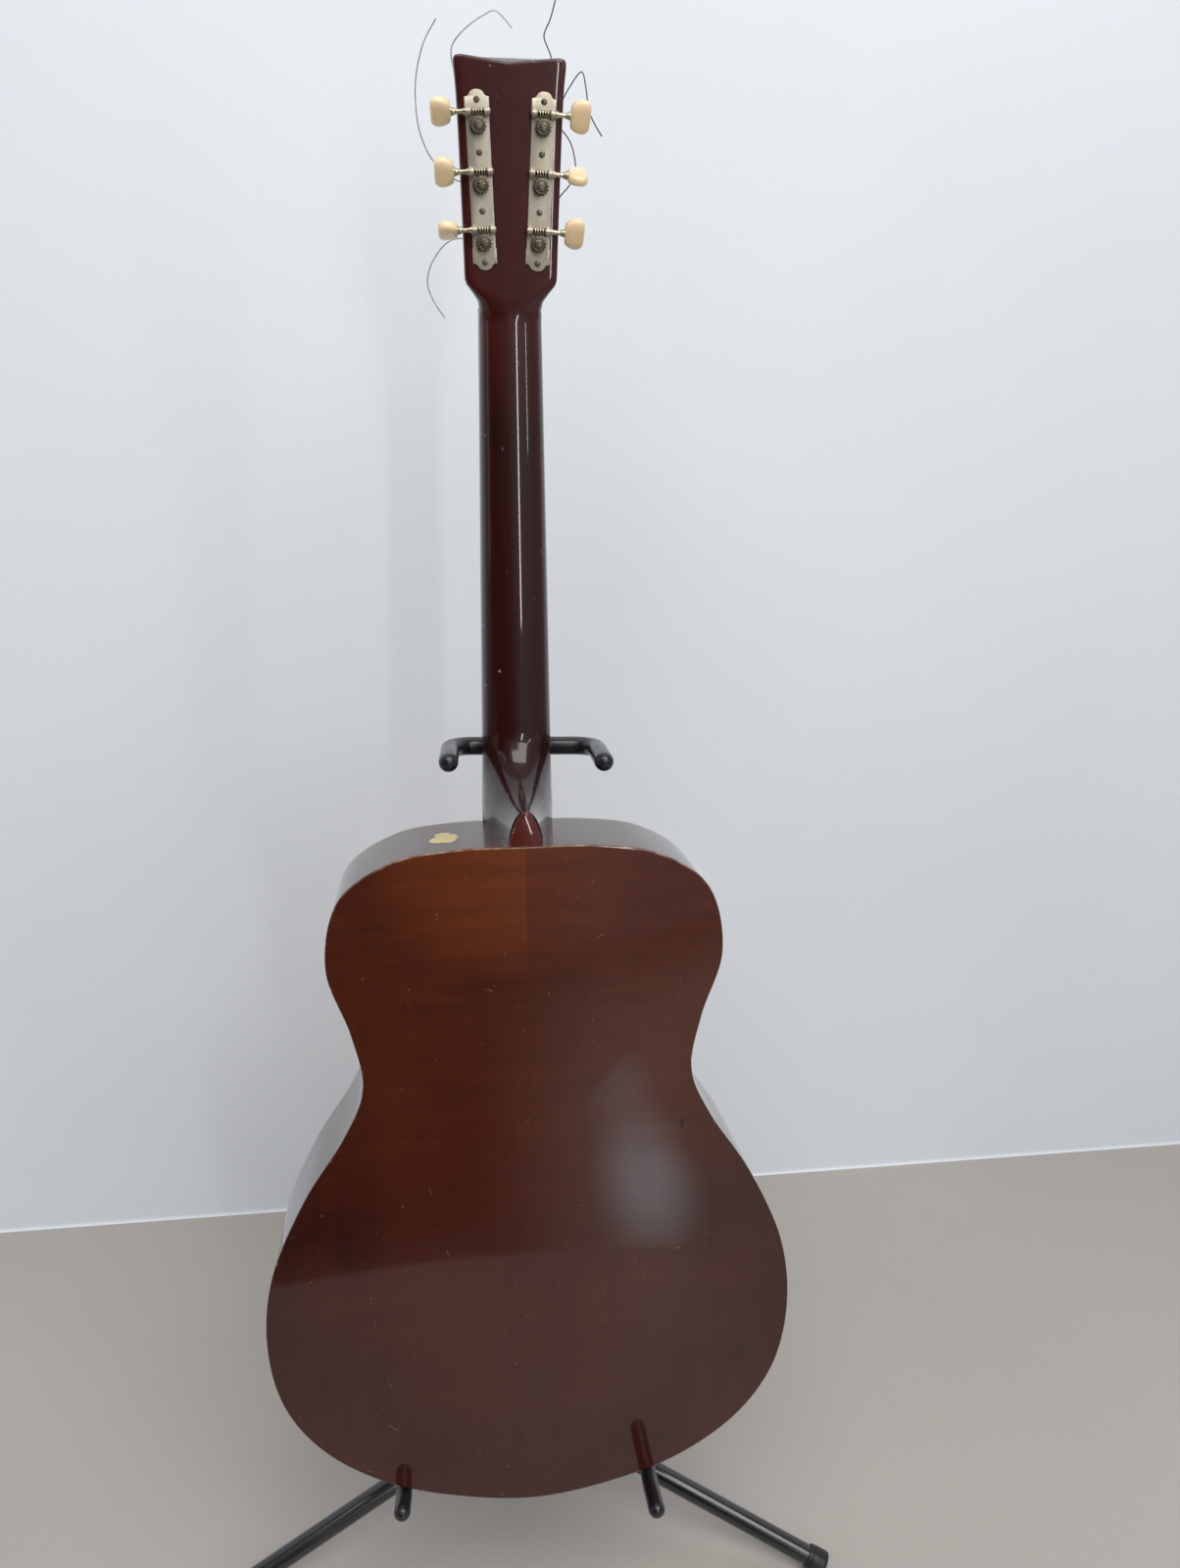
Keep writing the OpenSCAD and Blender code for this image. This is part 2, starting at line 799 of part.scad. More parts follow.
// A U of round bar: a cross bar at y = back, arms forward to y = front.
module yoke_bar(half, back, bend, r, front_left, front_right) {
    translate([0, back, 0]) rod_x(r, -(half - bend), 2 * (half - bend));
    for (side = [-1, 1]) {
        front = side < 0 ? front_left : front_right;
        translate([side * (half - bend), back - bend, 0])
            rotate([0, 0, side < 0 ? 90 : 0])
                rotate_extrude(angle = 90) translate([bend, 0]) circle(r = r);
        translate([side * half, 0, 0]) rod_y(r, front, back - bend - front);
    }
}

// The upturned end of one arm's sleeve: a short straight with a round tip.
module body_hook(side, r, tip) {
    translate([side * body_arm_x, hook_start, 0]) rotate([-hook_angle, 0, 0]) {
        rod_y(r, -tip, tip + r * tan(hook_angle / 2));
        translate([0, -tip, 0]) sphere(r = r);
    }
}

module body_yoke() {
    color([0.10, 0.10, 0.11]) body_yoke_place()
        yoke_bar(body_arm_x, body_bar_n, yoke_bend, yoke_rod_radius, 0, 0);
}

module body_yoke_sleeves() {
    color([0.05, 0.05, 0.06]) body_yoke_place() for (side = [-1, 1]) {
        translate([side * body_arm_x, 0, 0]) difference() {
            rod_y(body_sleeve_radius, hook_start, 90 - hook_start);
            rod_y(yoke_rod_radius + 0.02, -0.02, 120);
        }
        body_hook(side, body_sleeve_radius,
            side < 0 ? body_arm_tip_left : body_arm_tip_right);
    }
}

// The neck yoke's frame: origin at the middle of its cross bar.
module neck_yoke_place() {
    y = stand_y + (neck_bar_z - pivot_height) * tan(post_lean);
    translate([0, y, neck_bar_z]) rotate([-guitar_lean, 0, 0]) children();
}

module neck_support() {
    top = (neck_bar_z - pivot_height) / cos(post_lean);
    swage = top - swage_length;
    wall = 1.4;
    color([0.08, 0.08, 0.09]) {
        post_place() difference() {
            union() {
                translate([0, 0, 90]) cylinder(r = support_radius, h = swage - 90);
                translate([0, 0, swage]) cylinder(r1 = support_radius, r2 = swage_radius, h = 6);
                translate([0, 0, swage + 6]) cylinder(r = swage_radius, h = swage_length - 7);
            }
            translate([0, 0, 89]) cylinder(r = support_radius - wall, h = swage - 89);
            translate([0, 0, swage - 1]) cylinder(r = swage_radius - wall, h = swage_length - 11);
        }
        neck_yoke_place() yoke_bar(neck_arm_x, 0, neck_bend, yoke_rod_radius,
            -neck_arm_length, -neck_arm_length);
    }
}

module neck_yoke_sleeves() {
    inner = yoke_rod_radius + 0.02;
    color([0.05, 0.05, 0.06]) neck_yoke_place() difference() {
        union() {
            yoke_bar(neck_arm_x, 0, neck_bend, neck_sleeve_radius,
                -neck_arm_length, -neck_arm_length);
            for (side = [-1, 1]) translate([side * neck_arm_x, -neck_arm_length, 0])
                sphere(r = neck_sleeve_radius);
        }
        yoke_bar(neck_arm_x, 0, neck_bend, inner,
            -neck_arm_length - 0.02, -neck_arm_length - 0.02);
        translate([-sleeve_gap, -20, -20]) cube([2 * sleeve_gap, 40, 40]);
    }
}

module clamp_collar() {
    color([0.06, 0.06, 0.07]) post_place() difference() {
        union() {
            translate([0, 0, collar_z]) cylinder(r = 15, h = 30);
            translate([0, 0, knob_z]) rod_y(8, 0, 24);
        }
        translate([0, 0, collar_z - 1]) cylinder(r = post_radius_outer + 0.02, h = 25.1);
        translate([0, 0, collar_z - 1]) cylinder(r = support_radius + joint_gap, h = 40);
        translate([0, 0, knob_z]) rod_y(3.05, 0, 40);
    }
}

module clamp_knob() {
    color([0.05, 0.05, 0.05]) post_place() translate([0, 0, knob_z]) {
        rod_y(3, support_radius + 0.3, 18);
        rod_y(12, 25, 12);
        for (i = [0 : 4]) rotate([0, 72 * i, 0]) translate([12, 0, 0]) rod_y(4.5, 25, 12);
    }
}

// ---------------------------------------------------------------- nodes

back_plate();
sides();
soundboard();
linings();
end_blocks();
braces();
pickguard();
bridge();
nut_and_saddle();
bridge_pins();
end_pin();
neck();
heel_cap();
truss_rod();
fingerboard();
frets();
headstock_veneer();
tuner_plates();
plate_screws();
post_bushings();
strings();
tuner_worm(0);  // tuner_worm_1
tuner_worm(1);  // tuner_worm_2
tuner_worm(2);  // tuner_worm_3
tuner_worm(3);  // tuner_worm_4
tuner_worm(4);  // tuner_worm_5
tuner_worm(5);  // tuner_worm_6
tuner_button(0);  // tuner_button_1
tuner_button(1);  // tuner_button_2
tuner_button(2);  // tuner_button_3
tuner_button(3);  // tuner_button_4
tuner_button(4);  // tuner_button_5
tuner_button(5);  // tuner_button_6
tuner_gear(0);  // tuner_gear_1
tuner_gear(1);  // tuner_gear_2
tuner_gear(2);  // tuner_gear_3
tuner_gear(3);  // tuner_gear_4
tuner_gear(4);  // tuner_gear_5
tuner_gear(5);  // tuner_gear_6
string_end(0);  // string_end_1
string_end(1);  // string_end_2
string_end(2);  // string_end_3
string_end(3);  // string_end_4
string_end(4);  // string_end_5
string_end(5);  // string_end_6
lower_post();
neck_support();
leg_hub();
leg(0);  // leg_left
leg(1);  // leg_right
leg(2);  // leg_rear
foot_cap(0);  // foot_cap_left
foot_cap(1);  // foot_cap_right
foot_cap(2);  // foot_cap_rear
leg_pins();
body_yoke();
body_yoke_sleeves();
neck_yoke_sleeves();
clamp_collar();
clamp_knob();
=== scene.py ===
import math

import bpy
import bmesh
from mathutils import Matrix, Vector


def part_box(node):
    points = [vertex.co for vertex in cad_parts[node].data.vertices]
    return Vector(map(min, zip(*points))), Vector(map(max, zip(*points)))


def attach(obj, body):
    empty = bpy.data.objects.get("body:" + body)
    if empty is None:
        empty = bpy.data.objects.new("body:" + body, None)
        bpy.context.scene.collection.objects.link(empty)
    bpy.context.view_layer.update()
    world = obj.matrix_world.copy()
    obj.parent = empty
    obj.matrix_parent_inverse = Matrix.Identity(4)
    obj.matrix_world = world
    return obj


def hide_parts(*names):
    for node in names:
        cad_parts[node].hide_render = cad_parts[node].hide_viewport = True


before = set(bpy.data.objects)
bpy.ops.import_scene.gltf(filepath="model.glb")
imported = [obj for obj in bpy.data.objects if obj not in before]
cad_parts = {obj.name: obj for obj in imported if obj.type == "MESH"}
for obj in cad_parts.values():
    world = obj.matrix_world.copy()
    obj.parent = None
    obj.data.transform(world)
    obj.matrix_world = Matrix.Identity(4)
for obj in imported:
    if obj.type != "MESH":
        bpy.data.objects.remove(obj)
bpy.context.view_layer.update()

# ------------------------------------------------------------------ sizes, in millimetres
MM = 0.001
POST_FRONT_REACH = 12.51
STAND_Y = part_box("lower_post")[0].y / MM + POST_FRONT_REACH
HUB_Z = 86.0
FLOOR_FLAT = 0.6

TAIL_DEPTH = 105.0
SHOULDER_DEPTH = 84.0
BODY_LENGTH = 505.0
BACK_THICKNESS = 3.0
TOP_THICKNESS = 2.8
SIDE_WALL = 2.2
SOUNDHOLE_Z = 366.0
SOUNDHOLE_RADIUS = 49.0
NUT_Z = 854.5
NUT_THICKNESS = 4.5
NUT_WIDTH = 42.0
JOIN_WIDTH = 51.0
SCALE_LENGTH = 634.0
SADDLE_Z = NUT_Z - SCALE_LENGTH - 2.5
NECK_FOOT_Z = 566.0
HEAD_START_Z = 856.0
HEAD_BACK_DEPTH = 52.4
HEAD_ANGLE = 11.0
HEAD_LENGTH = 142.0
HEAD_THICKNESS = 14.5
VENEER = 1.4
HEAD_FRONT = HEAD_THICKNESS + VENEER
HALF_OUTLINE = [
    (0, 0), (56, 7.5), (108, 24.5), (152, 54.5), (180, 95), (190, 146),
    (183.5, 200), (159, 256), (129.5, 302), (115, 338), (121.5, 378),
    (136, 425), (126, 472), (91, 497), (48, 504.5), (0, 505),
]

POST_L = [37.5, 70.5, 103.5]
PLATE_FOOT_X = 15.7
PLATE_SPLAY = 2.5
PLATE_THICKNESS = 1.2
WORM_OFFSET = 7.5
WORM_HEIGHT = 4.3
GEAR_TEETH = 14
SCREW_OFFSETS = [-44.5, -14.5, 18.5, 47.5]
BUTTON_TURNS = [72, 44, 50, 32, 115, 30]

YOKE_REACH = 136.0
YOKE_Z = 140.0
GUITAR_SHIFT = 7.0
GUITAR_TURN = 2.0
GUITAR_LEAN = 8.0
GUITAR_TIP = 0.7
ARM_X = 92.0
ARM_DROP = 10.5
ARM_BAR_N = 119.0
ARM_BEND = 22.0
ROD_RADIUS = 4.5
SLEEVE_RADIUS = 6.0
HOOK_ANGLE = 12.0
HOOK_START = -4.0
NECK_ARM_X = 53.5
NECK_ARM_LENGTH = 68.0
NECK_SLEEVE_RADIUS = 6.75
NECK_BEND = 17.0
NECK_BAR_Z = 677.5
POST_LEAN = 4.0
LOWER_POST_TOP = 218.0
SUPPORT_RADIUS = 9.5
FOOT_REACH = 268.0
PIVOT_RADIUS = 27.0
CAP_RADIUS = 9.8
LEG_RADIUS = 8.0
FRONT_LEG_ANGLE = 23.0

# Wire ends in the headstock's frame: sideways, depth towards the front, length from the nut.
WIRE_ROUTES = [
    [(-22, 24, 38), (-32, 26, 41), (-42, 26, 37), (-51, 25, 25), (-54, 24, 13),
     (-50, 23, 2), (-43, 23, -8)],
    [(-24, 24, 71), (-37, 26, 77), (-49, 26, 87), (-56, 26, 102), (-58, 26, 118),
     (-57, 26, 134), (-52, 26, 151), (-44, 26, 164)],
    [(-25, 24, 104), (-30, 26, 122), (-34, 26, 138), (-35, 26, 148), (-31, 26, 155),
     (-23, 26, 162), (-15, 26, 167), (-8, 26, 170), (-3, 26, 167), (3, 26, 161)],
    [(22, 24, 38), (26, 26, 52), (33, 27, 66), (40, 27, 74), (44, 27, 82),
     (43, 27, 92), (40, 27, 100), (34, 27, 107)],
    [(24, 24, 71), (28, 28, 90), (31, 28, 108), (35, 28, 122), (40, 27, 131),
     (47, 26, 139), (50, 26, 130), (52, 26, 118), (56, 26, 110), (61, 26, 103)],
    [(25, 24, 104), (28, 26, 125), (28, 26, 144), (25, 26, 152), (23, 26, 158),
     (27, 26, 167), (30, 26, 177)],
]
WIRE_DIAMETER = 0.8


# ------------------------------------------------------------------ frames
def turn(axis, degrees):
    return Matrix.Rotation(math.radians(degrees), 4, axis)


def move(x, y, z):
    return Matrix.Translation((x, y, z))


def side_of(k):
    return -1 if k < 3 else 1


GUITAR = (
    move(GUITAR_SHIFT, STAND_Y - YOKE_REACH, YOKE_Z)
    @ turn("Z", GUITAR_TURN) @ turn("X", -GUITAR_LEAN) @ turn("Y", -GUITAR_TIP)
)
TOP_TILT = math.degrees(math.atan((TAIL_DEPTH - SHOULDER_DEPTH) / BODY_LENGTH))
TOP = GUITAR @ move(0, TAIL_DEPTH, 0) @ turn("X", TOP_TILT)
HEAD_IN_GUITAR = move(0, HEAD_BACK_DEPTH, HEAD_START_Z) @ turn("X", HEAD_ANGLE)
HEAD = GUITAR @ HEAD_IN_GUITAR
HUB = move(0, STAND_Y, HUB_Z)
POST = HUB @ turn("X", -POST_LEAN)
BODY_YOKE = move(0, STAND_Y - YOKE_REACH, YOKE_Z) @ turn("X", -GUITAR_LEAN) @ move(0, 0, ARM_DROP)
NECK_YOKE = (
    move(0, STAND_Y + (NECK_BAR_Z - HUB_Z) * math.tan(math.radians(POST_LEAN)), NECK_BAR_Z)
    @ turn("X", -GUITAR_LEAN)
)
LEG_DROP = math.degrees(math.atan((HUB_Z - CAP_RADIUS + FLOOR_FLAT) / (FOOT_REACH - PIVOT_RADIUS)))
LEG_LENGTH = (FOOT_REACH - PIVOT_RADIUS) / math.cos(math.radians(LEG_DROP))
LEG_AZIMUTHS = {"left": 180 + FRONT_LEG_ANGLE, "right": -FRONT_LEG_ANGLE, "rear": 90}


def leg_frame(which):
    return HUB @ turn("Z", LEG_AZIMUTHS[which]) @ move(PIVOT_RADIUS, 0, 0) @ turn("Y", LEG_DROP)


def tuner_frame(k):
    """Origin on post k's axis at the headstock's back, X outward, Y into the wood, Z up the headstock."""
    side = side_of(k)
    length = POST_L[k % 3]
    x = side * (PLATE_FOOT_X + math.tan(math.radians(PLATE_SPLAY)) * length)
    place = HEAD @ move(x, 0, length) @ turn("Y", side * PLATE_SPLAY)
    return place @ Matrix.Diagonal((side, 1, 1, 1))


# ------------------------------------------------------------------ curves
def spline_point(a, b, c, d, t):
    return [
        0.5 * (2 * q + (r - p) * t + (2 * p - 5 * q + 4 * r - s) * t * t
               + (3 * q - p - 3 * r + s) * t ** 3)
        for p, q, r, s in zip(a, b, c, d)
    ]


def closed_curve(points, steps):
    n = len(points)
    return [
        spline_point(points[i - 1], points[i], points[(i + 1) % n], points[(i + 2) % n], j / steps)
        for i in range(n) for j in range(steps)
    ]


def open_curve(points, steps):
    last = len(points) - 1
    made = [
        spline_point(points[max(i - 1, 0)], points[i], points[i + 1], points[min(i + 2, last)], j / steps)
        for i in range(last) for j in range(steps)
    ]
    return made + [list(points[last])]


def body_outline(steps):
    left = [(-x, z) for x, z in HALF_OUTLINE[-2:0:-1]]
    return closed_curve(HALF_OUTLINE + left, steps)


def inset(outline, distance):
    """The closed anticlockwise outline moved inward."""
    n = len(outline)
    made = []
    for i, (x, z) in enumerate(outline):
        ahead, behind = outline[(i + 1) % n], outline[i - 1]
        dx, dz = ahead[0] - behind[0], ahead[1] - behind[1]
        size = math.hypot(dx, dz) or 1
        made.append((x - distance * dz / size, z + distance * dx / size))
    return made


def smoothstep(t):
    t = min(1, max(0, t))
    return t * t * (3 - 2 * t)


# ------------------------------------------------------------------ shapes: (points, faces) in millimetres
def loft(rings, cap_start=True, cap_end=True, closed=True):
    """Quads between rings of equally many points."""
    n = len(rings[0])
    points = [p for ring in rings for p in ring]
    span = n if closed else n - 1
    faces = [
        (r * n + i, r * n + (i + 1) % n, (r + 1) * n + (i + 1) % n, (r + 1) * n + i)
        for r in range(len(rings) - 1) for i in range(span)
    ]
    if cap_start:
        faces.append(tuple(range(n - 1, -1, -1)))
    if cap_end:
        faces.append(tuple(range((len(rings) - 1) * n, len(rings) * n)))
    return points, faces


def merged(*shapes):
    points, faces = [], []
    for p, f in shapes:
        faces += [tuple(i + len(points) for i in face) for face in f]
        points += list(p)
    return points, faces


def moved(shape, matrix):
    return [tuple(matrix @ Vector(p)) for p in shape[0]], shape[1]


def circle(count):
    """Cosine and sine of evenly spaced angles, once round."""
    angles = [2 * math.pi * i / count for i in range(count)]
    return [(math.cos(a), math.sin(a)) for a in angles]


def lathe(profile, segments=48, axis="Z"):
    """Turns (radius, distance along the axis) rows into a closed solid."""
    rings = []
    for radius, along in profile:
        ring = []
        for c, s in circle(segments):
            u, v = radius * c, radius * s
            ring.append({"X": (along, u, v), "Y": (v, along, u), "Z": (u, v, along)}[axis])
        rings.append(ring)
    return loft(rings)


def rounded(radius, start, end, edge):
    """A lathe profile of a rod with rounded rims."""
    arc = [math.radians(a) for a in (0, 22.5, 45, 67.5, 90)]
    low = [(radius - edge + edge * math.sin(a), start + edge - edge * math.cos(a)) for a in arc]
    high = [(r, end - (z - start)) for r, z in reversed(low)]
    return low + high


def tube(path, radius, segments=32, caps=True):
    """A round bar along a path; radius is a number or one number a point."""
    path = [Vector(p) for p in path]
    last = len(path) - 1
    radii = radius if isinstance(radius, list) else [radius] * len(path)
    normal = None
    rings = []
    for i, p in enumerate(path):
        t = (path[min(i + 1, last)] - path[max(i - 1, 0)]).normalized()
        if normal is None:
            normal = t.cross(Vector((0.31, 0.52, 0.79))).normalized()
        normal = (normal - t * normal.dot(t)).normalized()
        other = t.cross(normal)
        rings.append([tuple(p + radii[i] * (c * normal + s * other)) for c, s in circle(segments)])
    return loft(rings, caps, caps)


def plate(outline, y0, y1, edge, steps=3):
    """A plate of an (x, z) outline between two depths, with rounded edges."""
    rows = []
    for j in range(steps + 1):
        a = math.pi / 2 * j / steps
        rows.append((edge * (1 - math.sin(a)), y0 + edge * (1 - math.cos(a))))
    rows += [(d, y1 - (y - y0)) for d, y in reversed(rows)]
    return loft([[(x, y, z) for x, z in inset(outline, d)] for d, y in rows])


def rounded_rectangle(width, height, radius, steps=6):
    made = []
    for sx, sz, start in ((1, 1, 0), (-1, 1, 90), (-1, -1, 180), (1, -1, 270)):
        cx, cz = sx * (width / 2 - radius), sz * (height / 2 - radius)
        for j in range(steps + 1):
            a = math.radians(start + 90 * j / steps)
            made.append((cx + radius * math.cos(a), cz + radius * math.sin(a)))
    return made


# ------------------------------------------------------------------ pieces
def piece(name, shape, place, material, body, replaces=(), sharp=32, attributes=None):
    """Makes one mesh object, in the frame `place`, and puts it on its CAD body."""
    mesh = bpy.data.meshes.new(name)
    flip = place.determinant() < 0
    turned = place @ Matrix.Diagonal((-1, 1, 1, 1)) if flip else place
    points = [((-x if flip else x) * MM, y * MM, z * MM) for x, y, z in shape[0]]
    mesh.from_pydata(points, [], shape[1])
    for key, values in (attributes or {}).items():
        mesh.attributes.new(key, "FLOAT", "POINT").data.foreach_set("value", values)
    work = bmesh.new()
    work.from_mesh(mesh)
    bmesh.ops.recalc_face_normals(work, faces=work.faces)
    work.to_mesh(mesh)
    work.free()
    mesh.shade_smooth()
    mesh.set_sharp_from_angle(angle=math.radians(sharp))
    made = bpy.data.objects.new(name, mesh)
    bpy.context.scene.collection.objects.link(made)
    made.matrix_world = Matrix.Translation(turned.translation * MM) @ turned.to_3x3().to_4x4()
    mesh.materials.append(material)
    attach(made, body)
    if replaces:
        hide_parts(*replaces)
    return made


def dress(node, material, bevel=0.0):
    """Gives a CAD node its material, and softens its edges."""
    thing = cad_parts[node]
    thing.data.materials.clear()
    thing.data.materials.append(material)
    if bevel:
        soft = thing.modifiers.new("edges", "BEVEL")
        soft.width = bevel * MM
        soft.segments = 2
        soft.limit_method = "ANGLE"
        soft.angle_limit = math.radians(40)
        soft.use_clamp_overlap = True
        soft.harden_normals = True


# ------------------------------------------------------------------ materials
class Nodes:
    """Short calls for building one material's nodes."""

    def __init__(self, name, **settings):
        self.material = bpy.data.materials.new(name)
        self.material.use_nodes = True
        self.tree = self.material.node_tree
        self.shader = self.tree.nodes["Principled BSDF"]
        for key, value in settings.items():
            self.shader.inputs[key.replace("_", " ")].default_value = value
        self.place = self.tree.nodes.new("ShaderNodeTexCoord").outputs["Object"]

    def node(self, kind, values=(), **properties):
        made = self.tree.nodes.new(kind)
        for key, value in properties.items():
            setattr(made, key, value)
        for key, value in dict(values).items():
            self.feed(made.inputs[key], value)
        return made

    def feed(self, socket, value):
        if isinstance(value, bpy.types.NodeSocket):
            self.tree.links.new(value, socket)
        else:
            socket.default_value = value

    def stretched(self, x, y, z):
        return self.node("ShaderNodeMapping", {"Vector": self.place, "Scale": (x, y, z)}).outputs[0]

    def noise(self, scale, detail=4, vector=None, distortion=0.0):
        made = self.node("ShaderNodeTexNoise", {
            "Vector": vector or self.place, "Scale": scale, "Detail": detail, "Distortion": distortion,
        })
        return made.outputs["Fac"]

    def cells(self, scale, vector=None, feature="F1"):
        made = self.node("ShaderNodeTexVoronoi", {"Vector": vector or self.place, "Scale": scale},
                         feature=feature)
        return made.outputs["Distance"]

    def math(self, operation, a, b=0.0, clamp=False):
        made = self.node("ShaderNodeMath", {0: a, 1: b}, operation=operation)
        made.use_clamp = clamp
        return made.outputs[0]

    def times(self, a, b, clamp=False):
        return self.math("MULTIPLY", a, b, clamp)

    def plus(self, a, b, clamp=False):
        return self.math("ADD", a, b, clamp)

    def span(self, value, low, high, at_low=0.0, at_high=1.0):
        """Carries the stretch from low to high over to another, held at both ends."""
        return self.node("ShaderNodeMapRange", {
            "Value": value, "From Min": low, "From Max": high, "To Min": at_low, "To Max": at_high,
        }).outputs[0]

    def edge(self):
        """The mesh's own mark of where an edge is worn, or where a worm's thread is darkened."""
        return self.node("ShaderNodeAttribute", attribute_name="edge").outputs["Fac"]

    def ramp(self, value, *stops):
        made = self.node("ShaderNodeValToRGB", {"Fac": value})
        elements = made.color_ramp.elements
        while len(elements) < len(stops):
            elements.new(0.5)
        for element, (position, colour) in zip(elements, stops):
            element.position = position
            grey = isinstance(colour, (int, float))
            element.color = (colour, colour, colour, 1) if grey else (*colour, 1)
        return made.outputs["Color"]

    def mix(self, factor, a, b):
        made = self.node("ShaderNodeMix", data_type="RGBA")
        self.feed(made.inputs[0], factor)
        for socket, value in ((made.inputs[6], a), (made.inputs[7], b)):
            self.feed(socket, value if isinstance(value, bpy.types.NodeSocket) else (*value, 1))
        return made.outputs[2]

    def axes(self):
        return self.node("ShaderNodeSeparateXYZ", {0: self.place}).outputs

    def spot(self, x, z, wide, high):
        """1 at a place on the piece's own X-Z plane, fading to 0 over that width and height."""
        across, _, up = self.axes()
        u = self.math("DIVIDE", self.math("SUBTRACT", across, x * MM), wide * MM)
        v = self.math("DIVIDE", self.math("SUBTRACT", up, z * MM), high * MM)
        far = self.plus(self.times(u, u), self.times(v, v))
        return self.math("SUBTRACT", 1.0, far, clamp=True)

    def bump(self, height, strength, distance):
        made = self.node("ShaderNodeBump", {
            "Height": height, "Strength": strength, "Distance": distance * MM,
        })
        self.tree.links.new(made.outputs["Normal"], self.shader.inputs["Normal"])

    def colour(self, socket):
        self.feed(self.shader.inputs["Base Color"], socket)

    def rough(self, low, high, scale, vector=None):
        spread = self.noise(scale, 5, vector)
        self.feed(self.shader.inputs["Roughness"], self.span(spread, 0.3, 0.7, low, high))

    def scratches(self, scale, share):
        """Thin curved marks in a few patches."""
        lines = self.cells(scale, self.stretched(1, 1, 0.35), "DISTANCE_TO_EDGE")
        thin = self.ramp(lines, (0.0, 1.0), (0.012, 0.0))
        where = self.ramp(self.noise(scale * 1.7, 2), (share, 0.0), (share + 0.03, 1.0))
        return self.times(thin, where)

    def chips(self, scale, size):
        """Small round-ish marks, where a cell's middle is."""
        dots = self.ramp(self.cells(scale), (size, 1.0), (size * 1.25, 0.0))
        where = self.ramp(self.noise(scale * 0.35, 1), (0.6, 0.0), (0.63, 1.0))
        return self.times(dots, where)


def plate_wood(name, dark, middle, light, glow=True):
    """Varnished body wood: upright grain, faint level figure, mirrored about the seam."""
    m = Nodes(name, Roughness=0.42, Coat_Weight=1.0, Coat_Roughness=0.05, Specular_IOR_Level=0.15)
    across, depth, up = m.axes()
    mirrored = m.node("ShaderNodeCombineXYZ", {
        0: m.math("ABSOLUTE", across), 1: depth, 2: up,
    }).outputs[0]
    grain = m.noise(1.0, 5, m.node("ShaderNodeMapping", {
        "Vector": mirrored, "Scale": (420, 420, 7)}).outputs[0], 0.3)
    figure = m.noise(1.0, 3, m.node("ShaderNodeMapping", {
        "Vector": mirrored, "Scale": (16, 16, 105)}).outputs[0], 0.5)
    broad = m.noise(7.0, 3, mirrored)
    upper = m.span(up, 0.20, 0.46)
    flame = m.times(m.math("SUBTRACT", figure, 0.5), m.plus(0.10, m.times(upper, 0.5)))
    blend = m.plus(m.times(grain, 0.20), m.times(broad, 0.80))
    blend = m.plus(blend, flame)
    colour = m.ramp(blend, (0.36, dark), (0.52, middle), (0.68, light))
    # With glow set: painted light (a highlight near the top, a glow in the middle) and the real seam, ding,
    # scratches, chips and worn edge.
    if glow:
        # Painted highlight: a brighter orange patch near the top of the back, stronger on the left half and
        # on the figure.
        left = m.plus(0.40, m.times(m.math("LESS_THAN", across, 0.0), 0.60))
        painted_highlight = m.times(m.spot(-14, 496, 96, 84), m.plus(0.05, m.times(figure, 1.9)))
        patch = m.times(painted_highlight, left)
        colour = m.mix(m.times(patch, 0.90, clamp=True), colour, (0.165, 0.038, 0.0048))
        colour = m.mix(m.times(upper, 0.5), colour, (0.088, 0.019, 0.0065))
        # Painted glow: a lighter patch over the middle of the back.
        painted_glow = m.times(m.spot(-10, 230, 110, 170), 0.45)
        colour = m.mix(painted_glow, colour, (0.074, 0.0125, 0.0045))
        seam = m.math("LESS_THAN", m.math("ABSOLUTE", across), 0.00018)
        colour = m.mix(m.times(seam, 0.6), colour, (0.03, 0.010, 0.006))
        ding = m.spot(108, 298, 1.8, 4.5)
        colour = m.mix(m.times(ding, 2.0, clamp=True), colour, (0.008, 0.004, 0.003))
        marks = m.math("MAXIMUM", m.scratches(60, 0.66), m.chips(120, 0.075))
        colour = m.mix(m.times(marks, 0.30), colour, (0.36, 0.24, 0.17))
        edge = m.edge()
        high = m.span(up, 0.455, 0.495)
        worn = m.ramp(m.noise(95, 4), (0.44, 0.15), (0.60, 1.0))
        low = m.ramp(m.noise(120, 4), (0.62, 0.0), (0.66, 1.0))
        share = m.math("MAXIMUM", m.times(high, worn), m.times(low, 0.6))
        colour = m.mix(m.times(edge, share), colour, (0.42, 0.29, 0.19))
    m.colour(colour)
    m.bump(m.plus(m.times(grain, 0.4), m.noise(9, 2)), 0.22, 0.5)
    return m.material


def long_wood(name, dark, light, painted_shade=1.0):
    """Wood with its grain along the piece's Z, with painted shade below the headstock."""
    m = Nodes(name, Roughness=0.4, Coat_Weight=0.9, Coat_Roughness=0.05, Specular_IOR_Level=0.2)
    grain = m.noise(1.0, 6, m.stretched(300, 300, 9), 0.4)
    broad = m.noise(1.0, 3, m.stretched(22, 22, 5))
    blend = m.plus(m.times(grain, 0.35), m.times(broad, 0.65))
    colour = m.ramp(blend, (0.30, dark), (0.72, light))
    # Painted shade: below the headstock the colour is darkened to this share.
    low = m.span(m.axes()[2], 0.78, 0.85, painted_shade)
    colour = m.mix(low, (0, 0, 0), colour)
    worn = m.math("MAXIMUM", m.scratches(48, 0.66), m.chips(85, 0.08))
    colour = m.mix(m.times(worn, 0.5), colour, (0.42, 0.30, 0.24))
    edge = m.edge()
    rubbed = m.ramp(m.noise(170, 4), (0.64, 0.0), (0.69, 1.0))
    colour = m.mix(m.times(edge, rubbed), colour, (0.30, 0.20, 0.13))
    m.colour(colour)
    m.bump(m.plus(m.times(grain, 0.4), m.noise(38, 2)), 0.20, 0.5)
    return m.material


